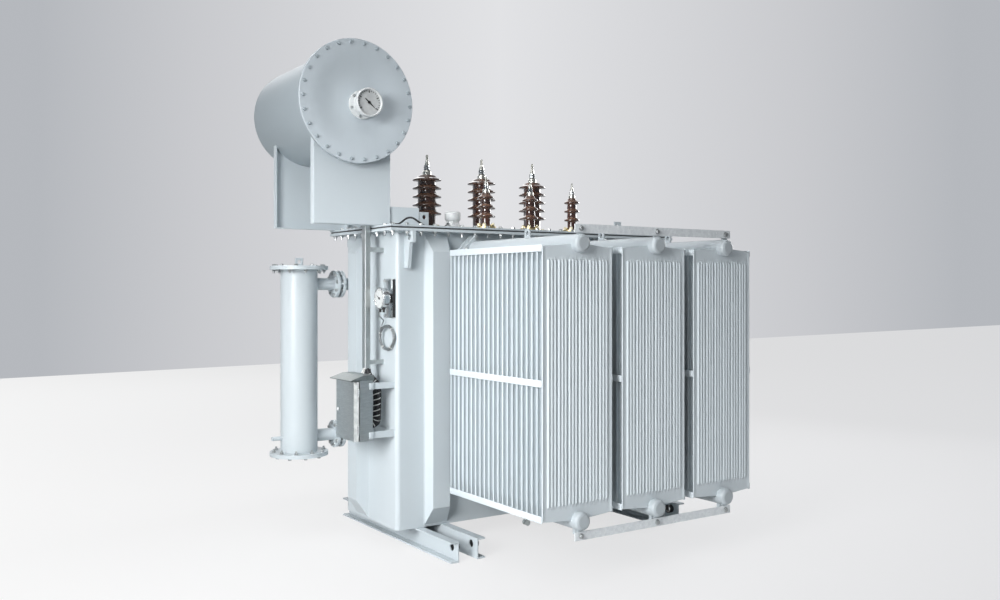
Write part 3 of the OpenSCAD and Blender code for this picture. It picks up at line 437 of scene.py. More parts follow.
tankPaint, finPaint, headerShadedPaint, conservatorPaint, shellShadedPaint, filterPaint = (makeEnamel(kind) for kind in enamel)
galvanised = makeMetal("galvanised_steel", (0.84, 0.88, 0.90), (0.66, 0.70, 0.73), 60.0, (0.40, 0.56), metallic=0.12)
plated = makeMetal("plated_bolts", (0.55, 0.57, 0.57), (0.40, 0.42, 0.43), 140.0, (0.32, 0.48))
stainless = makeMetal("brushed_stainless", (0.60, 0.63, 0.63), (0.46, 0.49, 0.50), 34.0, (0.26, 0.42), (1, 1, 9))
passivated = makeMetal("yellow_passivated", (0.60, 0.50, 0.27), (0.45, 0.36, 0.18), 70.0, (0.30, 0.46))
duct = makeMetal("anodised_duct", (0.52, 0.55, 0.55), (0.40, 0.43, 0.43), 90.0, (0.26, 0.40), (6, 6, 0.6), 0.1, 0.85)
roofSteel = makeMetal("weathered_stainless", (0.36, 0.39, 0.385), (0.25, 0.28, 0.275), 34.0, (0.34, 0.50), (1, 9, 1))
dogMetal = makeMetal("dull_passivated", (0.60, 0.56, 0.42), (0.44, 0.40, 0.27), 70.0, (0.38, 0.54), (1, 1, 1), 0.1, 0.5)
studBright = makeMetal("tinned_copper", (0.80, 0.80, 0.76), (0.66, 0.65, 0.58), 120.0, (0.20, 0.34))
hingeReflectionPaint = makeMatt("painted_reflection_strip", (0.40, 0.42, 0.42), (0.28, 0.30, 0.30), 34.0, (0.45, 0.6), 0.1)
darkTube = makeMetal("armoured_tube", (0.42, 0.44, 0.45), (0.28, 0.30, 0.31), 80.0, (0.28, 0.42))
chrome = makeMetal("chromed_case", (0.82, 0.83, 0.84), (0.72, 0.74, 0.75), 60.0, (0.12, 0.22), bump=0.05)
brownGlaze = makeGlaze("brown_glaze", (0.020, 0.009, 0.007), (0.075, 0.026, 0.018), (0.165, 0.095, 0.065))
rubber = makeMatt("black_rubber", (0.030, 0.031, 0.033), (0.014, 0.014, 0.015))
gasketCork = makeMatt("gasket_cork", (0.085, 0.090, 0.090), (0.035, 0.038, 0.040), 90.0)
tieNylon = makeMatt("white_nylon", (0.80, 0.80, 0.78), (0.66, 0.67, 0.66), 120.0, (0.35, 0.5), 0.1)
dialWhite = makeMatt("dial_white", (0.60, 0.62, 0.62), (0.52, 0.54, 0.545), 40.0, (0.3, 0.4), 0.05)
caseWhite = makeMatt("case_white", (0.74, 0.76, 0.76), (0.64, 0.67, 0.68), 90.0, (0.3, 0.42), 0.08)
inkBlack = makeMatt("dial_ink", (0.02, 0.02, 0.022), (0.01, 0.01, 0.01), 200.0, (0.4, 0.5), 0.05)
print("materials made")


# camera, floor, backdrop and light

view = {
    "eye": (-3.859, -6.000, 1.722),   # metres, in the part's frame
    "heading": (0.561, 0.828),        # level view direction
    "focalPixels": 968.0, "horizonRow": 288.0, "frameWide": 1000.0, "frameHigh": 600.0,
    "sensor": 36.0, "clipEnd": 200.0,
}


def makeCamera():
    data = bpy.data.cameras.new("camera")
    data.sensor_width = view["sensor"]
    data.lens = view["focalPixels"] / view["frameWide"] * view["sensor"]
    data.shift_y = (view["horizonRow"] - view["frameHigh"] / 2) / view["frameWide"]
    data.clip_end = view["clipEnd"]
    camera = bpy.data.objects.new("camera", data)
    camera.location = view["eye"]
    camera.rotation_euler = (math.pi / 2, 0.0, math.atan2(-view["heading"][0], view["heading"][1]))
    bpy.context.scene.collection.objects.link(camera)
    bpy.context.scene.camera = camera


levelAhead = (*view["heading"], 0.0)
levelAcross = (view["heading"][1], -view["heading"][0], 0.0)
studio = {
    "floorColour": (0.80, 0.80, 0.80, 1), "floorSeen": (0.17, 0.17, 0.17, 1), "floorHalf": 60.0, "floorDrop": 0.0005,
    "floorRough": (0.7, 0.85), "floorReach": 0.52, "nearest": 3.0,
    # painted light on the floor as the camera sees it, from left to right
    "floorPaintedLight": [(0.0, (0.83, 0.83, 0.83)), (0.5, (0.705, 0.705, 0.71)), (1.0, (0.655, 0.658, 0.670))],
    "world": 0.235, "worldSeen": 0.62, "worldColour": (0.93, 0.96, 1.0, 1.0),
    # painted light on the wall, paler in the middle, from the middle to the sides; the wall's two feet are measured
    # across and ahead of the camera
    "wallPaintedLight": [(0.0, (0.760, 0.765, 0.785)), (0.31, (0.585, 0.592, 0.617)), (0.475, (0.465, 0.482, 0.512))],
    "wallLeft": (-9.6, 18.3), "wallRight": (24.5, 46.0), "wallTall": 40.0, "wallMore": 0.6,
}
# place, aim, size, spread in degrees, watts
lamps = {
    "key": ((-5.4, -3.05, 2.6), (-0.55, -0.90, 1.05), 2.6, 62.0, 68.0),
    "top": ((-3.5, -2.5, 8.0), (-0.6, 0.0, 1.3), 5.0, 180.0, 170.0),
    "back": ((2.0, 10.0, 8.0), (0.0, 0.0, 1.3), 8.0, 180.0, 260.0),
    "far": ((8.0, 1.5, 3.6), (0.6, 0.2, 1.2), 4.0, 70.0, 90.0),
}


def seenAcross(tree):
    # across / max(ahead, nearest) of a point, both measured from the eye's fixed place
    kind, place = "ShaderNodeVectorMath", {0: objectPlace(tree), 1: view["eye"]}
    fromEye = addNode(tree, kind, place, operation="SUBTRACT").outputs["Vector"]
    aside, ahead = (addNode(tree, kind, {0: fromEye, 1: way}, operation="DOT_PRODUCT").outputs["Value"]
                    for way in (levelAcross, levelAhead))
    return calculate(tree, "DIVIDE", aside, calculate(tree, "MAXIMUM", ahead, studio["nearest"]))


def addSheet(name, corners, material):
    mesh = bpy.data.meshes.new(name)
    mesh.from_pydata(np.array(corners).tolist(), [], [(0, 1, 2, 3)])
    mesh.materials.append(material)
    sheet = bpy.data.objects.new(name, mesh)
    bpy.context.scene.collection.objects.link(sheet)
    return sheet


def makeFloor():
    # the camera sees a pale glow that fades to the right, painted light for the lamps' fall-off across the floor, plus
    # the lit floor; other rays see a plain pale floor
    material, tree, shader = newMaterial("floor_white")
    seen = addNode(tree, "ShaderNodeLightPath").outputs["Is Camera Ray"]
    reach = studio["floorReach"]
    glow = ramp(tree, ranged(tree, seenAcross(tree), 0.0, 1.0, fromLow=-reach, fromHigh=reach), studio["floorPaintedLight"])
    fill(tree, shader, {
        "Base Color": mixed(tree, seen, studio["floorColour"], studio["floorSeen"]),
        "Roughness": ranged(tree, noise(tree, objectPlace(tree), scale=0.35, detail=2.0), *studio["floorRough"]),
        "Specular IOR Level": 0.0, "Emission Color": glow, "Emission Strength": seen})
    half, level = studio["floorHalf"], -studio["floorDrop"]
    corners = [(-half, -half, level), (half, -half, level), (half, half, level), (-half, half, level)]
    addSheet("floor", corners, material)


def makeWall():
    # a tall plain wall behind the object that glows in its own pale colour, so that it throws no tint; its glow is
    # painted light, a pool paler towards the middle
    material, tree, shader = newMaterial("backdrop_grey")
    tree.nodes.remove(shader)
    tone = ramp(tree, calculate(tree, "ABSOLUTE", seenAcross(tree)), studio["wallPaintedLight"])   # paler towards the middle
    glow = addNode(tree, "ShaderNodeEmission", {"Color": tone}).outputs["Emission"]
    fill(tree, tree.nodes["Material Output"], {"Surface": glow})
    across, ahead = np.array(levelAcross), np.array(levelAhead)
    eye = np.array([*view["eye"][:2], 0.0])
    left, right = (eye + across * side + ahead * far for side, far in (studio["wallLeft"], studio["wallRight"]))
    more = (right - left) * studio["wallMore"]
    left, right = left - more, right + more
    up = upBy(studio["wallTall"])
    wall = addSheet("backdrop", [left, right, right + up, left + up], material)
    wall.visible_diffuse = False
    wall.visible_shadow = False


def makeLight():
    # rays of light take the dim sky, the camera a pale one
    world = bpy.data.worlds.new("studio")
    world.use_nodes = True
    tree = world.node_tree
    seen = addNode(tree, "ShaderNodeLightPath").outputs["Is Camera Ray"]
    fill(tree, tree.nodes["Background"], {
        "Color": studio["worldColour"], "Strength": ranged(tree, seen, studio["world"], studio["worldSeen"])})
    bpy.context.scene.world = world
    for name, (place, aim, size, spread, watts) in lamps.items():
        data = bpy.data.lights.new(name, "AREA")
        data.size, data.energy, data.spread = size, watts, math.radians(spread)
        light = bpy.data.objects.new(name, data)
        light.location = place
        x, y, z = np.array(aim) - np.array(place)
        light.rotation_euler = (math.atan2(math.hypot(x, y), -z), 0.0, math.atan2(y, x) - math.pi / 2)
        bpy.context.scene.collection.objects.link(light)
    bpy.context.scene.view_settings.view_transform = "Standard"


makeCamera()
makeFloor()
makeWall()
makeLight()
print("camera, floor and light set")


# radiator fins: pressed panels with rounded oil channels, a flat seam and a welded rim

fins = {
    "wide": 0.520, "shoulder": 0.7865, "rise": 0.021, "seam": 0.004, "core": 0.0190, "count": 21, "pitch": 0.050,
    "rim": 0.030, "channels": 6, "channelEnd": 0.7115, "endBlend": 0.016, "share": 0.94, "ridge": 0.27, "tip": 0.004,
    "wallPart": 0.22, "lip": 0.0022, "lipWide": 0.009, "edgeStep": 0.0015, "lipStep": 0.003, "belowLip": 0.004,
    "pastChannel": 0.02, "firstIn": 0.007,
    "strapHigh": 0.040, "strapOver": 0.008, "strapThick": 0.005, "strapEdge": 0.0016, "strapIn": 0.0005,
    "axisLow": 0.368, "axisHigh": 1.983,
}
banks = ["front_left", "front_middle", "front_right", "rear_left", "rear_right"]


def finPanel(perChannel, endRows):
    # half thickness = seam / 2 + (core - seam) / 2 * wall(u) * (1 - ridge + ridge * cos(3 pi u)) * ends(z, u) + lip,
    # u from 0 to 1 out from a channel's middle: each channel carries three pressed ridges and ends in a rounded tip
    f = fins
    wide, tall, lipWide, end = f["wide"] / 2, f["shoulder"], f["lipWide"], f["channelEnd"]
    flat = wide - f["rim"]
    inside = np.linspace(-flat, flat, f["channels"] * perChannel + 1)
    rim = np.array([wide, wide - f["edgeStep"], wide - lipWide + f["lipStep"], wide - lipWide])
    x = np.concatenate([-rim, inside, rim[::-1]])
    low = end - f["endBlend"] - f["tip"]
    above = [end + f["pastChannel"], tall - lipWide - f["belowLip"], tall - lipWide, tall - f["edgeStep"], tall]
    ends = np.concatenate([np.linspace(low, end, endRows), above])
    zz, xx = np.meshgrid(np.concatenate([-ends[::-1], ends]), x, indexing="ij")
    away, height = np.abs(xx), np.abs(zz)
    u = np.abs(((xx + flat) / (2 * flat / f["channels"])) % 1.0 - 0.5) * 2 / f["share"]
    wall = np.clip((1 - u) / f["wallPart"], 0, 1)
    wall = wall * wall * (3 - 2 * wall)
    ridge = np.where(away <= flat, wall * (1 - f["ridge"] + f["ridge"] * np.cos(3 * math.pi * u)), 0.0)
    along = np.clip((end - f["tip"] * np.minimum(u, 1) ** 2 - height) / f["endBlend"], 0, 1)
    edge = np.minimum(wide - away, tall - height)
    lip = f["lip"] * np.clip(1 - np.abs(edge - lipWide / 2) / (lipWide / 2), 0, 1) ** 0.5
    half = f["seam"] / 2 + (f["core"] - f["seam"]) / 2 * ridge * np.sqrt(along * (2 - along)) + lip
    gable = f["rise"] * (1 - away / wide) * np.clip((height - low) / (tall - low), 0, 1)
    zz = zz + np.sign(zz) * gable
    points = [pointRow(xx, y, zz).reshape(-1, 3) for y in (-half, half)]
    rows, cols = xx.shape
    count = rows * cols
    faces = gridFaces(rows, cols)
    index = np.arange(count).reshape(rows, cols)
    loop = np.concatenate([index[0, :-1], index[:-1, -1], index[-1, :0:-1], index[:0:-1, 0]])
    nextLoop = np.roll(loop, -1)
    skirt = np.stack([loop, loop + count, nextLoop + count, nextLoop], axis=-1)
    return np.concatenate(points), np.concatenate([faces, faces[:, ::-1] + count, skirt])


outerPanel = finPanel(perChannel=30, endRows=10)
innerPanel = finPanel(perChannel=12, endRows=4)


def makeFinStack(bank):
    f, node = fins, bank + "_fins"
    low, high = span(node)
    inward = -outward(node)
    outer = low[1] + f["firstIn"] if inward > 0 else high[1] - f["firstIn"]
    centreX, centreZ = middle(node)[0], (f["axisLow"] + f["axisHigh"]) / 2
    ys = outer + inward * f["pitch"] * np.arange(f["count"])
    places = pointRow(centreX, ys, centreZ)
    frames = np.broadcast_to(np.eye(3), (len(ys), 3, 3))
    ends = [0, len(ys) - 1]
    parts = [copyParts(outerPanel, frames[ends], places[ends]), copyParts(innerPanel, frames[1:-1], places[1:-1])]
    y0, y1 = sorted((ys[0], ys[-1]))
    reach = f["seam"] / 2
    size = np.array([f["strapThick"] / 2 + f["strapIn"], 0.0, f["strapHigh"] / 2])
    endZ = f["shoulder"] - f["strapHigh"] / 2 + f["strapOver"]
    for side in (-1, 1):
        x = centreX + side * (f["wide"] / 2 + f["strapThick"] / 2)
        for z in (endZ, 0.0, -endZ):
            start, stop = np.array([x, y0 - reach, centreZ + z]), np.array([x, y1 + reach, centreZ + z])
            parts.append(roundedBox(start - size, stop + size, f["strapEdge"], 2))
    addPiece(bank + "_fin_stack", parts, finPaint, instead=[node], sharp=50)


for bank in banks:
    makeFinStack(bank)
print("fin stacks made")


# bolts, nuts and washers as joined copies of small templates

boltShape = {   # radius and height, in units of the bolt's size
    "washer": [(0.0, 0.0), (1.05, 0.0), (1.05, 0.16), (0.0, 0.17)], "washerSides": 12,
    "head": [(0.0, 0.1), (0.88, 0.1), (0.88, 0.72), (0.74, 0.84), (0.0, 0.84)], "headSides": 6,
    "stud": 0.5, "studFrom": 0.7, "chamfer": 0.1, "tip": 0.4, "studSides": 8,
}


def boltTemplate(size, stud=0.0):
    # a round washer, a six-sided head with a chamfered top, and the end of the stud if it is a nut
    b = boltShape
    washer, head = (np.array(b[key]) * size for key in ("washer", "head"))
    parts = [lathe(washer, b["washerSides"]), lathe(head, b["headSides"])]
    if stud:
        wide, tip, start = (b[key] * size for key in ("stud", "tip", "studFrom"))
        top = head[-1, 1] + stud
        end = [(0.0, start), (wide, start), (wide, top - b["chamfer"] * size), (tip, top), (0.0, top)]
        parts.append(lathe(end, b["studSides"]))
    return joinParts(parts)


spinner = np.random.default_rng(11)


def boltCopies(places, axis, size, stud=0.0):
    places = np.asarray(places, float).reshape(-1, 3)
    frames = np.stack([axisFrame(axis, s) for s in spinner.uniform(0, math.pi / 3, len(places))])
    return copyParts(boltTemplate(size, stud), frames, places)


def ringPlaces(centre, axis, radius, count, start):
    # points round a circle about the axis
    x, y, _ = axisFrame(axis)
    angle = start + 2 * math.pi * np.arange(count) / count
    return np.asarray(centre, float) + radius * (np.cos(angle)[:, None] * x + np.sin(angle)[:, None] * y)


def rectanglePlaces(low, high, inset, pitch, z):
    # points round a rectangle, evenly spaced along each side
    x0, x1, y0, y1 = low[0] + inset, high[0] - inset, low[1] + inset, high[1] - inset
    nx, ny = round((x1 - x0) / pitch), round((y1 - y0) / pitch)
    xs = np.linspace(x0, x1, nx + 1)
    ys = np.linspace(y0, y1, ny + 1)[1:-1]
    return np.concatenate([pointRow(xs, y, z) for y in (y0, y1)] + [pointRow(x, ys, z) for x in (x0, x1)])


coverBolts = {"inset": 0.030, "pitch": 0.104, "size": 0.016, "stud": 0.016, "flange": 0.018, "clearX": 0.03,
              "clearY": 0.06}


def makeCoverBolts():
    c = coverBolts
    low, high = span("tank_cover")
    top = rectanglePlaces(low, high, c["inset"], c["pitch"], high[2])
    under = top.copy()
    under[:, 2] = span("tank_body")[1][2] - c["flange"]
    clear = np.ones(len(top), bool)
    for leg in ("conservator_front_leg", "conservator_rear_leg"):   # the leg's foot covers a bolt place
        end = span(leg)[1][0] + c["clearX"]
        clear &= ~((top[:, 0] < end) & (np.abs(top[:, 1] - middle(leg)[1]) < c["clearY"]))
    parts = [boltCopies(top[clear], (0, 0, 1), c["size"]), boltCopies(under, (0, 0, -1), c["size"], c["stud"])]
    addPiece("cover_bolts", parts, plated)


# radius of the ring, number of bolts, size of a bolt, stud beyond a nut, angle of the first
roundFlanges = {
    "conservator": (0.377, 26, 0.0112, 0.012, 0.0), "filter": (0.170, 10, 0.014, 0.012, 0.13),
    "valve": (0.076, 4, 0.014, 0.010, 0.0), "filterValve": (0.076, 8, 0.013, 0.006, 0.2),
    "hv": (0.090, 6, 0.013, 0.006, 0.2), "lv": (0.057, 4, 0.011, 0.006, 0.2), "gauge": (0.078, 6, 0.009, 0.0, 0.3),
}
flangeBacks = {"conservator": 0.032, "filterPlate": 0.013, "valveIn": 0.118, "valveAside": 0.095, "valveFront": -0.030,
               "valveBack": 0.012, "radiatorFront": 0.018, "radiatorBack": 0.058}


def flangeBolts(kind, centre, axis, nut=False):
    radius, count, size, stud, start = roundFlanges[kind]
    return boltCopies(ringPlaces(centre, axis, radius, count, start), axis, size, stud if nut else 0.0)


def makeFlangeBolts():
    b = flangeBacks
    x, _, z = middle("conservator_front_cover")
    face = span("conservator_front_cover")[0][1]
    parts = [flangeBolts("conservator", (x, face, z), (0, -1, 0)),
             flangeBolts("conservator", (x, face + b["conservator"], z), (0, 1, 0), nut=True)]
    addPiece("conservator_bolts", parts, shellShadedPaint)
    parts = []
    for node, up in (("filter_top_cover", 1), ("filter_bottom_cover", -1)):
        x, y, _ = middle(node)
        low, high = span(node)
        plate = b["filterPlate"]
        outside, inside = (low[2] + plate, low[2] - plate) if up > 0 else (low[2], high[2] + plate)
        parts.append(flangeBolts("filter", (x, y, outside), (0, 0, up)))
        parts.append(flangeBolts("filter", (x, y, inside), (0, 0, -up), nut=True))
    for node in ("filter_top_pipe", "filter_bottom_pipe"):
        high = span(node)[1]
        x, y, z = high[0] - b["valveIn"], high[1] - b["valveAside"], middle(node)[2]
        for shift, nut in ((b["valveFront"], False), (b["valveBack"], True)):
            parts.append(flangeBolts("filterValve", (x + shift, y, z), (-1, 0, 0), nut))
    addPiece("flange_bolts", parts, plated)


def makeValveBolts():
    # both faces of every radiator flange pair
    parts = []
    for bank in banks:
        node = bank + "_headers"
        low, high = span(node)
        side = outward(node)
        inner = high[1] if side < 0 else low[1]
        x = middle(node)[0]
        front, back = inner + side * flangeBacks["radiatorFront"], inner - side * flangeBacks["radiatorBack"]
        for z in (fins["axisLow"], fins["axisHigh"]):
            parts.append(flangeBolts("valve", (x, front, z), (0, side, 0)))
            parts.append(flangeBolts("valve", (x, back, z), (0, -side, 0), nut=True))
    addPiece("valve_bolts", parts, plated)


tieBolts = {"inset": 0.045, "size": 0.016, "stud": 0.010, "grip": 0.016}


def makeTieBolts():
    t, parts = tieBolts, []
    for bar in ("front_top", "front_bottom", "rear_top", "rear_bottom"):
        node = bar + "_tie_bar"
        low, high = span(node)
        side = outward(node)
        face, count = (low[1], 3) if side < 0 else (high[1], 2)
        xs = np.linspace(low[0] + t["inset"], high[0] - t["inset"], count)
        places = pointRow(xs, face, middle(node)[2])
        parts.append(boltCopies(places, (0, side, 0), t["size"]))
        places[:, 1] = face - side * t["grip"]
        parts.append(boltCopies(places, (0, -side, 0), t["size"], t["stud"]))
    addPiece("tie_bar_bolts", parts, plated)


makeCoverBolts()
makeFlangeBolts()
makeValveBolts()
makeTieBolts()
print("bolts made")


# bushings: turned porcelain with drooping sheds, a cast cap, a stud and nuts

bushings = {
    "hv": {"body": 0.0655, "shed": 0.1055, "firstShed": 0.131, "pitch": 0.0615, "count": 5, "top": 0.407, "cap": 0.032},
    "lv": {"body": 0.0325, "shed": 0.0575, "firstShed": 0.100, "pitch": 0.065, "count": 3, "top": 0.260, "cap": 0.024},
    "foot": 0.009, "clampHigh": 0.026, "boltsDown": 0.004, "sides": 48, "spin": 0.3,
    "neckUp": 0.012, "footRounds": (0.002, 0.004, 0.006), "shoulderDown": 0.006, "topPart": 0.86, "topRound": 0.004,
    # radius to start from, what is added to it, height from the shed's edge, rounding
    "shedShape": [("body", 0.0, -0.015, 0.006), ("shed", -0.004, -0.0115, 0.003), ("shed", 0.0, -0.008, 0.003),
                  ("shed", -0.001, 0.0, 0.003), ("body", 0.004, 0.014, 0.008)],
    "dog": (0.013, 0.011, 0.040), "dogEdge": (0.003, 2), "dogIn": 0.7, "dogBolt": 0.010, "dogBoltIn": 0.001,
}
terminal = {   # drawn for the tall kind, radius and height
    "drawnCap": 0.032, "cap": [(0, 0), (0.032, 0), (0.032, 0.026), (0.026, 0.036), (0.014, 0.039), (0, 0.039)],
    "cone": [(0.0, 0.072), (0.019, 0.072), (0.019, 0.080), (0.0105, 0.108)], "tip": [(0.007, 0.150), (0.0, 0.150)],
    "thread": (0.110, 0.146, 25), "crest": 0.0098, "groove": 0.0012, "nut": 0.0235, "nutsAt": (0.039, 0.056),
    "capRound": (0.004, 3), "capSides": 40, "studSides": 20,
}


def bushingProfile(look):
    # foot, body and sheds as corners (radius, height, rounding) of one outline
    b, body, top = bushings, look["body"], look["top"]
    foot, clamp = body + b["foot"], b["clampHigh"]
    under, over, neck = b["footRounds"]
    corners = [(0.0, 0.0, 0.0), (foot, 0.0, under), (foot, clamp, over), (body, clamp + b["neckUp"], neck)]
    for i in range(look["count"]):
        z = look["firstShed"] + i * look["pitch"]
        corners += [(look[base] + out, z + up, turn) for base, out, up, turn in b["shedShape"]]
    corners += [(body, top - b["shoulderDown"], b["topRound"]), (body * b["topPart"], top, b["topRound"]),
                (0.0, top, 0.0)]
    corners = np.array(corners)
    return rounded(corners[:, :2], corners[:, 2], 3)


def terminalParts(look):
    # a stepped cap under, and a cone and threaded stud above, two dark nuts; all scaled by the cap
    t = terminal
    size = look["cap"] / t["drawnCap"]
    cap = lathe(size * rounded(t["cap"], *t["capRound"]), t["capSides"])
    rise = np.linspace(*t["thread"])
    thread = np.stack([t["crest"] - t["groove"] * (np.arange(len(rise)) % 2), rise], axis=-1)
    stud = lathe(size * np.concatenate([t["cone"], thread, t["tip"]]), t["studSides"])
    points, faces = boltTemplate(size * t["nut"])
    nuts = [(points + upBy(size * z), faces) for z in t["nutsAt"]]
    return joinParts([cap, stud]), joinParts(nuts)


def rowPlaces(node):
    # feet of three pieces of a row, whose width is the node's depth
    low, high = span(node)
    reach = (high[1] - low[1]) / 2
    xs = np.linspace(low[0] + reach, high[0] - reach, 3)
    return pointRow(xs, middle(node)[1], low[2])


def makeBushings(kind):
    b, look = bushings, bushings[kind]
    places = rowPlaces(kind + "_porcelain")
    upright = np.stack([axisFrame((0, 0, 1), b["spin"] * i) for i in range(3)])
    addPiece(kind + "_glazed_insulators", copyParts(lathe(bushingProfile(look), b["sides"]), upright, places),
             brownGlaze, instead=[kind + "_porcelain"], sharp=60)
    tops = places + upBy(look["top"])
    bright, nuts = terminalParts(look)
    addPiece(kind + "_caps_and_studs", copyParts(bright, upright, tops), studBright,
             instead=[kind + "_terminals"])
    addPiece(kind + "_nuts", copyParts(nuts, upright, tops), darkTube)
    # clamp dogs round the foot
    w, d, h = b["dog"]
    turn = math.pi / 4 + math.pi / 2 * np.arange(4)
    out = pointRow(np.cos(turn), np.sin(turn), 0.0) * (look["body"] + b["foot"] + w * b["dogIn"])
    dog = joinParts([roundedBox((-w, -d, 0), (w, d, h), *b["dogEdge"]),
                     placePart(boltTemplate(b["dogBolt"]), (0, 0, 1), (0, 0, h - b["dogBoltIn"]))])
    frames = np.stack([axisFrame((0, 0, 1), t) for t in turn])
    dogs = [copyParts(dog, frames, p + out) for p in places]
    addPiece(kind + "_clamp_dogs", dogs, dogMetal)
    ring = places + upBy(b["clampHigh"] - b["boltsDown"])
    bolts = [flangeBolts(kind, p, (0, 0, 1), nut=True) for p in ring]
    addPiece(kind + "_clamp_bolts", bolts, passivated)


makeBushings("hv")
makeBushings("lv")
print("bushings made")


# dials: a case turned to face one way, a white face, ticks, a pointer and a hub

dial = {
    "start": math.radians(-35), "sweep": math.radians(250), "faceThick": 0.0006, "tickThick": 0.0005, "minorWide": 0.55,
    "needleThick": 0.001, "needleAt": 0.0022, "tailWide": 0.6, "tipWide": 0.12, "hubTaper": 0.001,
}


def dialTicks(radius, count, longTick, shortTick, wide, every):
    # thin bars set round an arc in the local xy plane; every few bars one is longer and wider
    index = np.arange(count)
    angle = dial["start"] + dial["sweep"] * index / (count - 1)
    major = index % every == 0
    length = np.where(major, longTick, shortTick)
    half = np.where(major, wide, wide * dial["minorWide"]) / 2
    out = pointRow(np.cos(angle), np.sin(angle), 0.0)
    side = half[:, None] * pointRow(-np.sin(angle), np.cos(angle), 0.0)
    inner, outer = (radius - length)[:, None] * out, radius * out
    flat = np.stack([inner - side, outer - side, outer + side, inner + side], axis=1)
    points = np.concatenate([flat, flat + upBy(dial["tickThick"])], axis=1).reshape(-1, 3)
    block = np.array([[3, 2, 1, 0], [4, 5, 6, 7], [0, 1, 5, 4], [1, 2, 6, 5], [2, 3, 7, 6], [3, 0, 4, 7]])
    return points, (block[None] + 8 * index[:, None, None]).reshape(-1, 4)


def dialPointer(length, tail, wide, angle):
    # a flat tapered needle with a short tail
    end, tip = wide * dial["tailWide"], wide * dial["tipWide"]
    outline = np.array([[-tail, -end], [0.0, -wide], [length, -tip], [length, tip], [0.0, wide], [-tail, end]])
    turn = np.array([[math.cos(angle), math.sin(angle)], [-math.sin(angle), math.cos(angle)]])
    flat = np.concatenate([outline @ turn, np.zeros((6, 1))], axis=1)
    points = np.concatenate([flat, flat + upBy(dial["needleThick"])])
    k = np.arange(6)
    sides = np.stack([k, (k + 1) % 6, (k + 1) % 6 + 6, k + 6], axis=-1)
    caps = np.array([[0, 5, 4, 1], [1, 4, 3, 2], [6, 7, 10, 11], [7, 8, 9, 10]])
    return points, np.concatenate([sides, caps])


def makeDial(name, look, base, front):
    at = base + front * look["faceAt"]
    face, thick = look["face"], dial["faceThick"]
    addPiece(name + "_face", placePart(rod(face, thick, look["sides"]), front, at), dialWhite)
    wide, high, sides = look["hub"]
    hub = lathe([(0.0, 0.0), (wide, 0.0), (wide - dial["hubTaper"], high), (0.0, high)], sides)
    marks = [placePart(dialTicks(*look["ticks"]), front, at + front * thick),
             placePart(dialPointer(*look["pointer"]), front, at + front * dial["needleAt"]),
             placePart(hub, front, at + front * thick)]
    addPiece(name + "_marks", marks, inkBlack)


levelGauge = {
    "case": [(0.0, 0.0), (0.093, 0.0), (0.093, 0.012), (0.058, 0.014), (0.058, 0.070), (0.084, 0.083), (0.093, 0.092),
             (0.093, 0.120), (0.089, 0.125), (0.084, 0.125), (0.082, 0.108), (0.0, 0.108)],
    "sides": 56, "face": 0.0818, "faceAt": 0.1085, "ticks": (0.077, 21, 0.017, 0.009, 0.0062, 5),
    "pointer": (0.062, 0.036, 0.0046, math.radians(-40)), "hub": (0.010, 0.005, 24), "boltsAt": 0.012,
    "caseRound": (0.0025, 2),
}


def makeLevelGauge():
    look, node = levelGauge, "oil_level_gauge"
    place = middle(node)
    place[1] = span(node)[1][1]
    front = np.array([0.0, -1.0, 0.0])
    case = lathe(rounded(look["case"], *look["caseRound"]), look["sides"])
    addPiece("level_gauge_case", placePart(case, front, place), caseWhite, instead=[node])
    makeDial("level_gauge", look, place, front)
    addPiece("level_gauge_bolts", flangeBolts("gauge", place + front * look["boltsAt"], front), plated)


thermometer = {
    "case": [(0.0, 0.0), (0.066, 0.0), (0.070, 0.006), (0.070, 0.038), (0.073, 0.040), (0.073, 0.049),
             (0.070, 0.052), (0.064, 0.052), (0.063, 0.047), (0.0, 0.047)],
    "sides": 48, "face": 0.0626, "faceAt": 0.0473, "ticks": (0.058, 25, 0.010, 0.006, 0.0024, 4),
    "pointer": (0.046, 0.016, 0.003, math.radians(150)), "hub": (0.008, 0.004, 20),
    "plate": 0.006, "plateHalf": 0.075, "neck": 0.024, "neckPipe": (0.022, 0.028, 24),
    "plug": [(0, 0), (0.034, 0), (0.034, 0.020), (0.0, 0.020)],
    "shadowDeep": 0.020, "shadowWide": 0.004, "shadowShort": 0.006, "shadowOff": 0.0005,
    "gland": [(0.0, 0.0), (0.011, 0.0), (0.011, 0.016), (0.008, 0.018), (0.008, 0.034), (0.0, 0.034)],
    "glandAside": 0.024, "glandOut": 0.028, "glandDown": 0.058, "glandSides": 12, "screw": 0.009, "screwIn": 0.014,
    "caseRound": (0.002, 2), "plateEdge": (0.002, 2), "neckIn": 0.001, "shadowRound": (0.001, 1),
    "plugRound": (0.003, 2), "plugSides": 24,
}


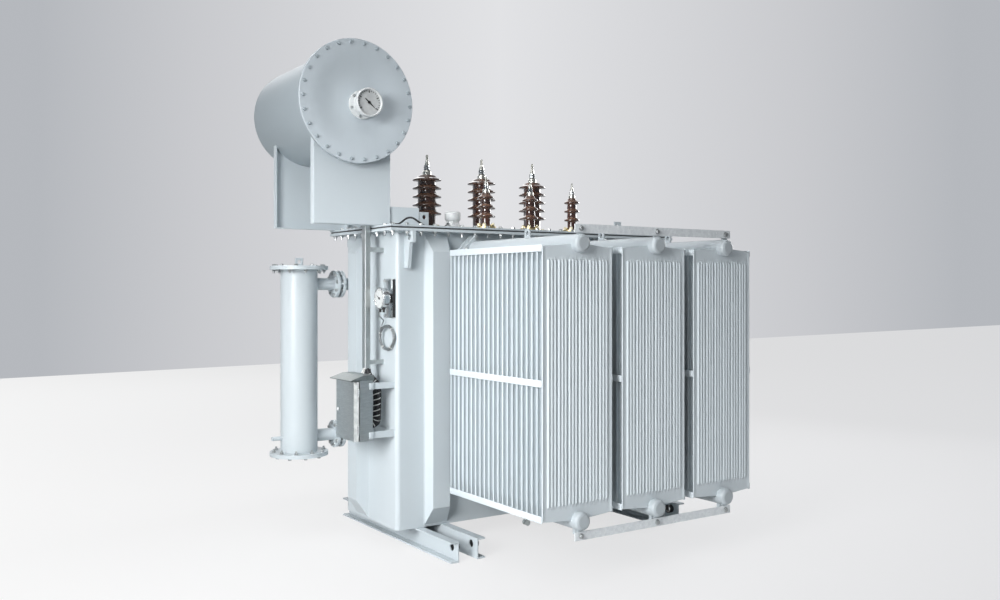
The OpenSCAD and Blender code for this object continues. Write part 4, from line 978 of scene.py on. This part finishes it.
def makeThermometer():
    look, node = thermometer, "thermometer"
    low, high = span(node)
    wall, y, z = high[0], *middle(node)[1:]
    front = np.array([-1.0, 0.0, 0.0])
    face, wide, tall = wall - look["plate"], look["plateHalf"], (high[2] - low[2]) / 2
    plate = roundedBox((face, y - wide, z - tall), (wall, y + wide, z + tall), *look["plateEdge"])
    neck = placePart(rod(*look["neckPipe"]), front, (face + look["neckIn"], y, z))
    base = np.array([face - look["neck"], y, z])
    case = placePart(lathe(rounded(look["case"], *look["caseRound"]), look["sides"]), front, base)
    # a dark rubber strip behind the plate's edge: painted shadow of the plate on the wall
    short = tall - look["shadowShort"]
    edge = roundedBox((wall - look["shadowDeep"], y - wide - look["shadowWide"], z - short),
                      (wall - look["shadowOff"], y - wide, z + short), *look["shadowRound"])
    plug = lathe(rounded(look["plug"], *look["plugRound"]), look["plugSides"])
    addPiece("thermometer_plug_and_painted_shadow", [edge, placePart(plug, front, (face, y, z))], rubber)
    addPiece("thermometer_case", [plate, neck, case], chrome, instead=[node])
    makeDial("thermometer", look, base, front)
    # cable glands under the case, and the plate's screws
    gland = lathe(look["gland"], look["glandSides"])
    glands = [placePart(gland, (0, 0, -1), (base[0] - look["glandOut"], y + side, z - look["glandDown"]))
              for side in (-look["glandAside"], look["glandAside"])]
    addPiece("thermometer_glands", glands, rubber)
    inY, inZ = wide - look["screwIn"], tall - look["screwIn"]
    screws = [(face, y + sy * inY, z + sz * inZ) for sy in (-1, 1) for sz in (-1, 1)]
    addPiece("thermometer_screws", boltCopies(screws, front, look["screw"]), plated)


capillary = {
    "tube": 0.0042, "sides": 8, "tailSteps": 6, "turns": 6, "points": 72, "ring": 0.0765, "lift": 0.026,
    "centreUp": 0.0825, "sideStep": 0.0048, "outStep": 0.0075, "offWall": 0.0045, "bandOff": 0.008,
    "wave": 0.0012, "ripple": 0.0006, "jitter": 0.0012, "bandsAt": (0.4, 2.3, 4.1, 5.3),
    "band": (0.0092, 0.0106, -0.004, 0.004, 16),
    "tail": [(-0.034, 0.076, 0.012), (-0.034, 0.070, 0.060), (-0.024, 0.046, 0.110), (-0.060, 0.028, 0.140),
             (-0.070, 0.024, 0.172)],
}


def makeCapillary():
    # a stack of thin rings on the wall, held by small bands, and the tail that climbs to the dial
    c, node = capillary, "capillary_coil"
    low, high = span(node)
    wall, y, z = high[0], middle(node)[1], low[2] + c["centreUp"]
    angle = 2 * math.pi * np.arange(c["points"]) / c["points"]
    jitter = np.random.default_rng(5)
    parts = []
    for k in range(c["turns"]):
        radius = c["ring"] + (k % 3 - 1) * c["sideStep"] + c["wave"] * np.sin(angle * (2 + k % 3) + k)
        x = wall - c["offWall"] - c["outStep"] * (k // 3) - c["lift"] * (1 + np.cos(angle)) / 2
        dy, dz = jitter.uniform(-c["jitter"], c["jitter"], 2)
        x = x - c["ripple"] * np.cos(3 * angle + k)
        ring = pointRow(x, y + dy + radius * np.cos(angle), z + dz + radius * np.sin(angle))
        parts.append(tube(ring, c["tube"], c["sides"], closed=True))
    tail = smoothPath(np.array([wall, y, z]) + np.array(c["tail"]), c["tailSteps"])
    parts.append(tube(tail, c["tube"], c["sides"]))
    addPiece("capillary_turns", parts, darkTube, instead=[node])
    bands = []
    for a in c["bandsAt"]:
        across, up = math.cos(a), math.sin(a)
        centre = (wall - c["bandOff"] - c["lift"] * (1 + across) / 2, y + c["ring"] * across, z + c["ring"] * up)
        bands.append(placePart(collar(*c["band"]), (0, -up, across), centre))
    addPiece("capillary_bands", bands, tieNylon)


trunkHalf = np.array([0.019, 0.0225])   # half the trunking's own width and depth, without its clips
cables = {
    "strand": 0.0094, "ring": 0.0188, "count": 6, "twist": 2.6, "sway": 0.2, "swayRate": 9, "boxWide": 0.290,
    "lane": (0.49, 0.679),
    "steps": [(0, 0, 0), (0.1, 0.07, 0.07), (0.33, 0.29, 0.15), (0.71, 0.62, 0.2), (0.95, 0.9, 0.28),
              (1, 1, 0.43), (1, 1, 0.62), (1, 1, 0.78), (0.8, 1, 0.87)],
    "ends": [(0.21, 0.92), (0.0, 0.935)],
    "wrap": 0.0225, "strip": 0.0034, "pitch": 0.036, "lean": (-0.005, -0.004, 0.0), "wrapFrom": 0.02, "wrapShort": 0.03,
    "wrapPoints": 420, "pathSteps": 7, "sides": 10, "stripSides": 6,
}


def around(path, radius, angle):
    # a line that circles a path
    normal, binormal = pathFrame(path)
    return path + radius * (np.cos(angle)[:, None] * normal + np.sin(angle)[:, None] * binormal)


def makeCables():
    # strands wound slowly round the centre line of the CAD bundle
    c = cables
    trunkLow = span("cable_trunking")[0]
    x, y = trunkLow[:2] + trunkHalf
    boxLow, boxHigh = span("control_box_body")
    armLow, armHigh = span("control_box_brackets")
    back, off = armLow[0], armHigh[0] - armLow[0]
    tall = span("control_box_roof")[0][2] - boxLow[2]
    laneX, laneY = back + off * c["lane"][0], boxHigh[1] - c["boxWide"] * c["lane"][1]
    points = [(x + s * (laneX - x), y + t * (laneY - y), trunkLow[2] - d * tall) for s, t, d in c["steps"]]
    points += [(back + off * s, laneY, trunkLow[2] - tall * d) for s, d in c["ends"]]
    path = smoothPath(points, c["pathSteps"])
    run = np.linspace(0, 1, len(path))
    parts = [tube(path, c["strand"], c["sides"])]
    for k in range(c["count"]):
        angle = 2 * math.pi * k / c["count"] + c["twist"] * run + c["sway"] * np.sin(c["swayRate"] * run + k)
        parts.append(tube(around(path, c["ring"], angle), c["strand"], c["sides"]))
    addPiece("control_cables", parts, rubber, instead=["cable_bundle"])
    # a spiral wrap: a strip wound at a fixed pitch round the bundle
    length = np.concatenate([[0.0], np.cumsum(np.linalg.norm(np.diff(path, axis=0), axis=1))])
    along = np.linspace(c["wrapFrom"], length[-1] - c["wrapShort"], c["wrapPoints"])
    fine = np.stack([np.interp(along, length, path[:, k]) for k in range(3)], axis=-1)
    wrap = around(fine, c["wrap"], 2 * math.pi * along / c["pitch"]) + np.array(c["lean"])
    addPiece("cable_spiral_wrap", tube(wrap, c["strip"], c["stripSides"]), tieNylon)


makeLevelGauge()
makeThermometer()
makeCapillary()
makeCables()
print("instruments and cables made")


# small fittings of the door, the trunking, the rails, the conservator's leg and the headers

doorTrim = {
    "lock": [(0.0, 0.0), (0.0115, 0.0), (0.0115, 0.001), (0.009, 0.002), (0.0, 0.0025)], "lockIn": 0.036,
    "lockSides": 20, "wide": 0.2880, "strip": 0.0325, "stripBack": -0.0008, "stripFront": 0.0010, "stripShort": 0.004,
    "stripAt": (-0.0140, 0.0120), "stripEdge": (0.0005, 1),
}


def makeDoorTrim():
    d = doorTrim
    low, high = span("control_box_door")
    lock, place = lathe(d["lock"], d["lockSides"]), (low[0], high[1] - d["lockIn"], middle("control_box_door")[2])
    addPiece("door_lock", placePart(lock, (-1, 0, 0), place), caseWhite, doorBody)
    # a pale matt strip along the door's slanted hinge edge, its pale colour a painted reflection on the stainless edge:
    # a box turned 45 degrees about the upright
    half, root = d["strip"] / 2, math.sqrt(0.5)
    points, faces = roundedBox((-half, d["stripBack"], low[2] + d["stripShort"]),
                               (half, d["stripFront"], high[2] - d["stripShort"]), *d["stripEdge"])
    turn = np.array([[root, -root, 0.0], [-root, -root, 0.0], [0.0, 0.0, 1.0]])
    edge = np.array([high[0] + d["stripAt"][0], high[1] - d["wide"] + d["stripAt"][1], 0.0])
    addPiece("door_hinge_strip", (points @ turn + edge, faces[:, ::-1]), hingeReflectionPaint, doorBody)


trunkTrim = {
    "lip": 0.0045, "proud": 0.0005, "short": 0.002, "lipEdge": (0.001, 1),
    "wire": 0.0045, "wireSteps": 6, "wireSides": 8,
    "wires": [[(-0.014, -0.004, 0.010), (-0.034, 0.006, -0.030), (-0.036, 0.020, -0.060), (-0.030, 0.030, -0.100)],
              [(-0.014, -0.010, 0.010), (-0.030, -0.020, -0.030), (-0.028, -0.038, -0.060), (-0.020, -0.050, -0.100)]],
}


def makeTrunkTrim():
    # a pale strip down the trunking's front edge, a painted highlight on its corner, and the two thin wires that leave
    # its foot
    t = trunkTrim
    low, high = span("cable_trunking")
    lip = roundedBox((low[0] - t["proud"], low[1] - t["proud"], low[2]),
                     (low[0] + t["lip"], low[1] + t["lip"], high[2] - t["short"]), *t["lipEdge"])
    addPiece("trunking_painted_highlight", lip, caseWhite)
    foot = np.array([*(low[:2] + trunkHalf), low[2]])
    paths = [smoothPath(foot + np.array(wire), t["wireSteps"]) for wire in t["wires"]]
    wires = [tube(path, t["wire"], t["wireSides"]) for path in paths]
    addPiece("trunking_wires", wires, tieNylon)


axleCollars = {"web": 0.008, "axles": (-0.755, 0.675), "high": 0.084, "collar": (0.0255, 0.0290, 0.0, 0.034, 28)}


def makeAxleCollars():
    # short collars behind the axle holes, black as painted shade inside the holes; a rail's web stands at the gap of
    # its pair, and the collar starts at the web's side towards the tank's middle
    collars = []
    for rail in ("left_outer", "left_inner", "right_inner", "right_outer"):
        low, high = span(rail + "_rail")
        sign = 1 if rail.startswith("left") else -1
        back = high[0] if rail in ("left_outer", "right_inner") else low[0]
        if rail.endswith("inner"):
            back += sign * axleCollars["web"]
        for y in axleCollars["axles"]:
            collars.append(placePart(collar(*axleCollars["collar"]), (sign, 0, 0), (back, y, axleCollars["high"])))
    addPiece("axle_collars_painted_shade", collars, inkBlack)


bracketEnds = {"long": 0.026, "thick": 0.004, "high": 0.042, "over": 0.006, "aside": 0.004, "into": 0.0005,
               "edge": (0.0018, 2)}


def makeBracketEnds():
    # ends of the bracket bars folded onto the side of the box
    b = bracketEnds
    low, high = span("control_box_brackets")
    side = low[1] - b["aside"]
    ends = [roundedBox((low[0] - b["long"], side - b["thick"], base),
                       (low[0] + b["over"], side + b["into"], base + b["high"]), *b["edge"])
            for base in (low[2], high[2] - b["high"])]
    addPiece("bracket_ends", ends, tankPaint)


legSkin = {"half": 0.2715, "proud": 0.009, "into": 0.001, "from": 0.004, "to": 0.53, "edge": (0.001, 1)}


def makeLegSkin():
    # the folded skin of the front leg, proud of its foot
    s = legSkin
    low = span("conservator_front_leg")[0]
    centre = middle("conservator_shell")[0]
    skin = roundedBox((centre - s["half"], low[1] - s["proud"], low[2] + s["from"]),
                      (centre + s["half"], low[1] + s["into"], low[2] + s["to"]), *s["edge"])
    addPiece("leg_skin", skin, finPaint)


drainCocks = {
    "cock": [(0.0, 0.0), (0.0165, 0.0), (0.0165, 0.020), (0.008, 0.021), (0.008, 0.031), (0.018, 0.032), (0.018, 0.040),
             (0.0, 0.040)],
    "sides": 20, "stub": (0.011, 0.050, 16), "back": 0.036, "drop": 0.004, "stubOut": 0.010,
}


def makeDrainCocks():
    # a cock under the middle of each bottom header, its spindle pointing outwards
    d, cocks = drainCocks, []
    for bank in banks:
        node = bank + "_headers"
        side = outward(node)
        x, y = middle(node)[0], middle(bank + "_fins")[1] - side * d["back"]
        z = span(node)[0][2] - d["drop"]
        cocks.append(placePart(lathe(d["cock"], d["sides"]), (0, side, 0), (x, y, z)))
        cocks.append(placePart(rod(*d["stub"]), (0, 0, 1), (x, y + side * d["stubOut"], z)))
    addPiece("drain_cocks", cocks, duct)


makeDoorTrim()
makeTrunkTrim()
makeAxleCollars()
makeBracketEnds()
makeLegSkin()
makeDrainCocks()
print("fittings made")


# weld beads round the folded stiffeners and the radiator stubs

welds = {"radius": 0.0045, "sides": 6, "base": 0.177, "corner": 0.012, "cornerSteps": 3, "stubSides": 32,
         "tankX": (-0.868, 1.432), "tankY": (-0.380, 0.380),
         "stub": [(0.052, 0.0), (0.061, 0.0), (0.054, 0.007), (0.052, 0.007), (0.052, 0.0)]}


def beadRectangle(foot, across, tall):
    # a closed rounded bead round a rectangle on a wall, from the middle of its lower edge
    reach, up = np.array(across) * welds["base"] / 2, upBy(tall)
    foot = np.array(foot)
    corners = np.array([foot - reach, foot + reach, foot + reach + up, foot - reach + up])
    path = rounded(corners, welds["corner"], welds["cornerSteps"], closed=True)
    return tube(path, welds["radius"], welds["sides"], closed=True)


def makeWelds():
    low, high = span("front_stiffeners")
    tall, half = high[2] - low[2], welds["base"] / 2
    parts = [beadRectangle((x, y, low[2]), (1.0, 0.0, 0.0), tall)
             for x in (low[0] + half, high[0] - half) for y in welds["tankY"]]
    endFoot, y = span("end_stiffeners")[0][2], middle("end_stiffeners")[1]
    parts += [beadRectangle((x, y, endFoot), (0.0, 1.0, 0.0), tall) for x in welds["tankX"]]
    # pipe stubs of the radiator valves on the long walls
    stub = lathe(welds["stub"], welds["stubSides"])
    for bank in banks:
        side, x = outward(bank + "_headers"), middle(bank + "_headers")[0]
        for z in (fins["axisLow"], fins["axisHigh"]):
            parts.append(placePart(stub, (0, side, 0), (x, side * welds["tankY"][1], z)))
    addPiece("weld_beads", parts, tankPaint, sharp=80)


# dished front cover of the conservator, and the turned relief valve

dishedCover = {"seat": 0.140, "rim": 0.345, "edge": 0.400, "round": 0.002, "deep": 0.020, "thick": 0.016, "steps": 48,
               "sides": 160}


def makeDishedCover():
    # height(r) = -deep * (1 + cos(pi part)) / 2, part from 0 at the flat seat to 1 at the rim
    d, node = dishedCover, "conservator_front_cover"
    part = np.linspace(0, 1, d["steps"])
    height = -d["deep"] * (1 + np.cos(math.pi * part)) / 2
    face = np.stack([d["seat"] + (d["rim"] - d["seat"]) * part, height], axis=-1)
    edge = [(d["edge"] - d["round"], 0.0), (d["edge"], -d["round"]), (d["edge"], -d["thick"])]
    back = face[::-1] - np.array([0.0, d["thick"]])
    outline = np.concatenate([[(0.0, -d["deep"])], face, edge, back, [(0.0, -d["deep"] - d["thick"])]])
    centre = middle(node)
    centre[1] = span(node)[0][1]
    addPiece("conservator_dished_cover", placePart(lathe(outline, d["sides"]), (0, -1, 0), centre), conservatorPaint,
             instead=[node], sharp=30)


reliefValve = {
    "outline": [(0.0, 0.0), (0.0560, 0.0), (0.0560, 0.012), (0.0500, 0.016), (0.0500, 0.056), (0.0455, 0.062),
                (0.0455, 0.072), (0.0560, 0.080), (0.0574, 0.126), (0.0500, 0.138), (0.0, 0.1425)],
    "round": (0.003, 2), "sides": 48,
}


def makeReliefValve():
    r, node = reliefValve, "pressure_relief_valve"
    foot = middle(node)
    foot[2] = span(node)[0][2]
    turned = lathe(rounded(r["outline"], *r["round"]), r["sides"])
    addPiece("relief_valve_turned", placePart(turned, (0, 0, 1), foot), caseWhite, instead=[node])


# earth lead over the cover and the small wires that rise out of the trunking; each point is read from the places named

leads = {
    "radius": 0.0065, "sides": 8, "steps": 7,
    "valveRise": [(0.0, -0.010, -0.02), (0.01, -0.014, 0.03), (0.10, -0.03, 0.02)],         # from the trunking's top
    "valveRun": [(0.22, -0.05, 0.012), (0.45, -0.055, 0.010)],                              # from it, on the cover
    "valveEnd": [(-0.06, -0.03, 0.012), (0.02, -0.012, 0.055)],                             # from the valve's edge
    "relayRise": [(0.0, 0.010, -0.02), (0.004, 0.012, 0.04), (0.03, 0.02, 0.07)],           # from the trunking's top
    "relayEnd": [(0.02, 0.03, 0.02)],                                                       # from the relay's corner
    "earth": [(-0.900, -0.395, 0.006), (-0.860, -0.400, 0.008), (-0.800, -0.390, 0.045), (-0.740, -0.365, 0.052),
              (-0.660, -0.320, 0.026), (-0.600, -0.280, 0.008)],                            # on the cover
}


def makeLeads():
    low, high = span("cable_trunking")
    x, y = low[:2] + trunkHalf
    cover = span("tank_cover")[1][2]
    top, onCover = np.array([x, y, high[2]]), np.array([x, y, cover])
    valve = np.array([span("pressure_relief_valve")[0][0], 0.0, cover])
    relay = span("gas_relay")[0]
    runs = [[("valveRise", top), ("valveRun", onCover), ("valveEnd", valve)], [("relayRise", top), ("relayEnd", relay)],
            [("earth", upBy(cover))]]
    tubes = []
    for run in runs:
        points = np.concatenate([place + np.array(leads[key]) for key, place in run])
        tubes.append(tube(smoothPath(points, leads["steps"]), leads["radius"], leads["sides"]))
    addPiece("cover_leads", tubes, rubber)


makeWelds()
makeDishedCover()
makeReliefValve()
makeLeads()
print("welds, covers and leads made")


# finishes of the CAD nodes that stay

finishes = [
    (tankPaint, "left_outer_rail left_inner_rail right_inner_rail right_outer_rail tank_body tank_cover cover_lugs"),
    (tankPaint, "front_stiffeners rear_stiffeners end_stiffeners lifting_hooks front_valves rear_valves oil_pipe"),
    (tankPaint, "control_box_brackets"), (gasketCork, "cover_gasket"), (duct, "cable_trunking"),
    (galvanised, "front_top_tie_bar front_bottom_tie_bar rear_top_tie_bar rear_bottom_tie_bar gas_relay"),
    (shellShadedPaint, "conservator_shell conservator_rear_end"), (finPaint, "conservator_front_leg conservator_rear_leg"),
    (filterPaint, "filter_vessel filter_top_cover filter_bottom_cover filter_top_pipe filter_bottom_pipe"),
    (stainless, "control_box_body control_box_door"), (roofSteel, "control_box_roof"),
    (passivated, "hv_clamps lv_clamps"),
    (headerShadedPaint, " ".join(bank + "_headers" for bank in banks)),
]
for material, names in finishes:
    for name in names.split():
        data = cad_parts[name].data
        data.materials.clear()
        data.materials.append(material)
print("finishes set")
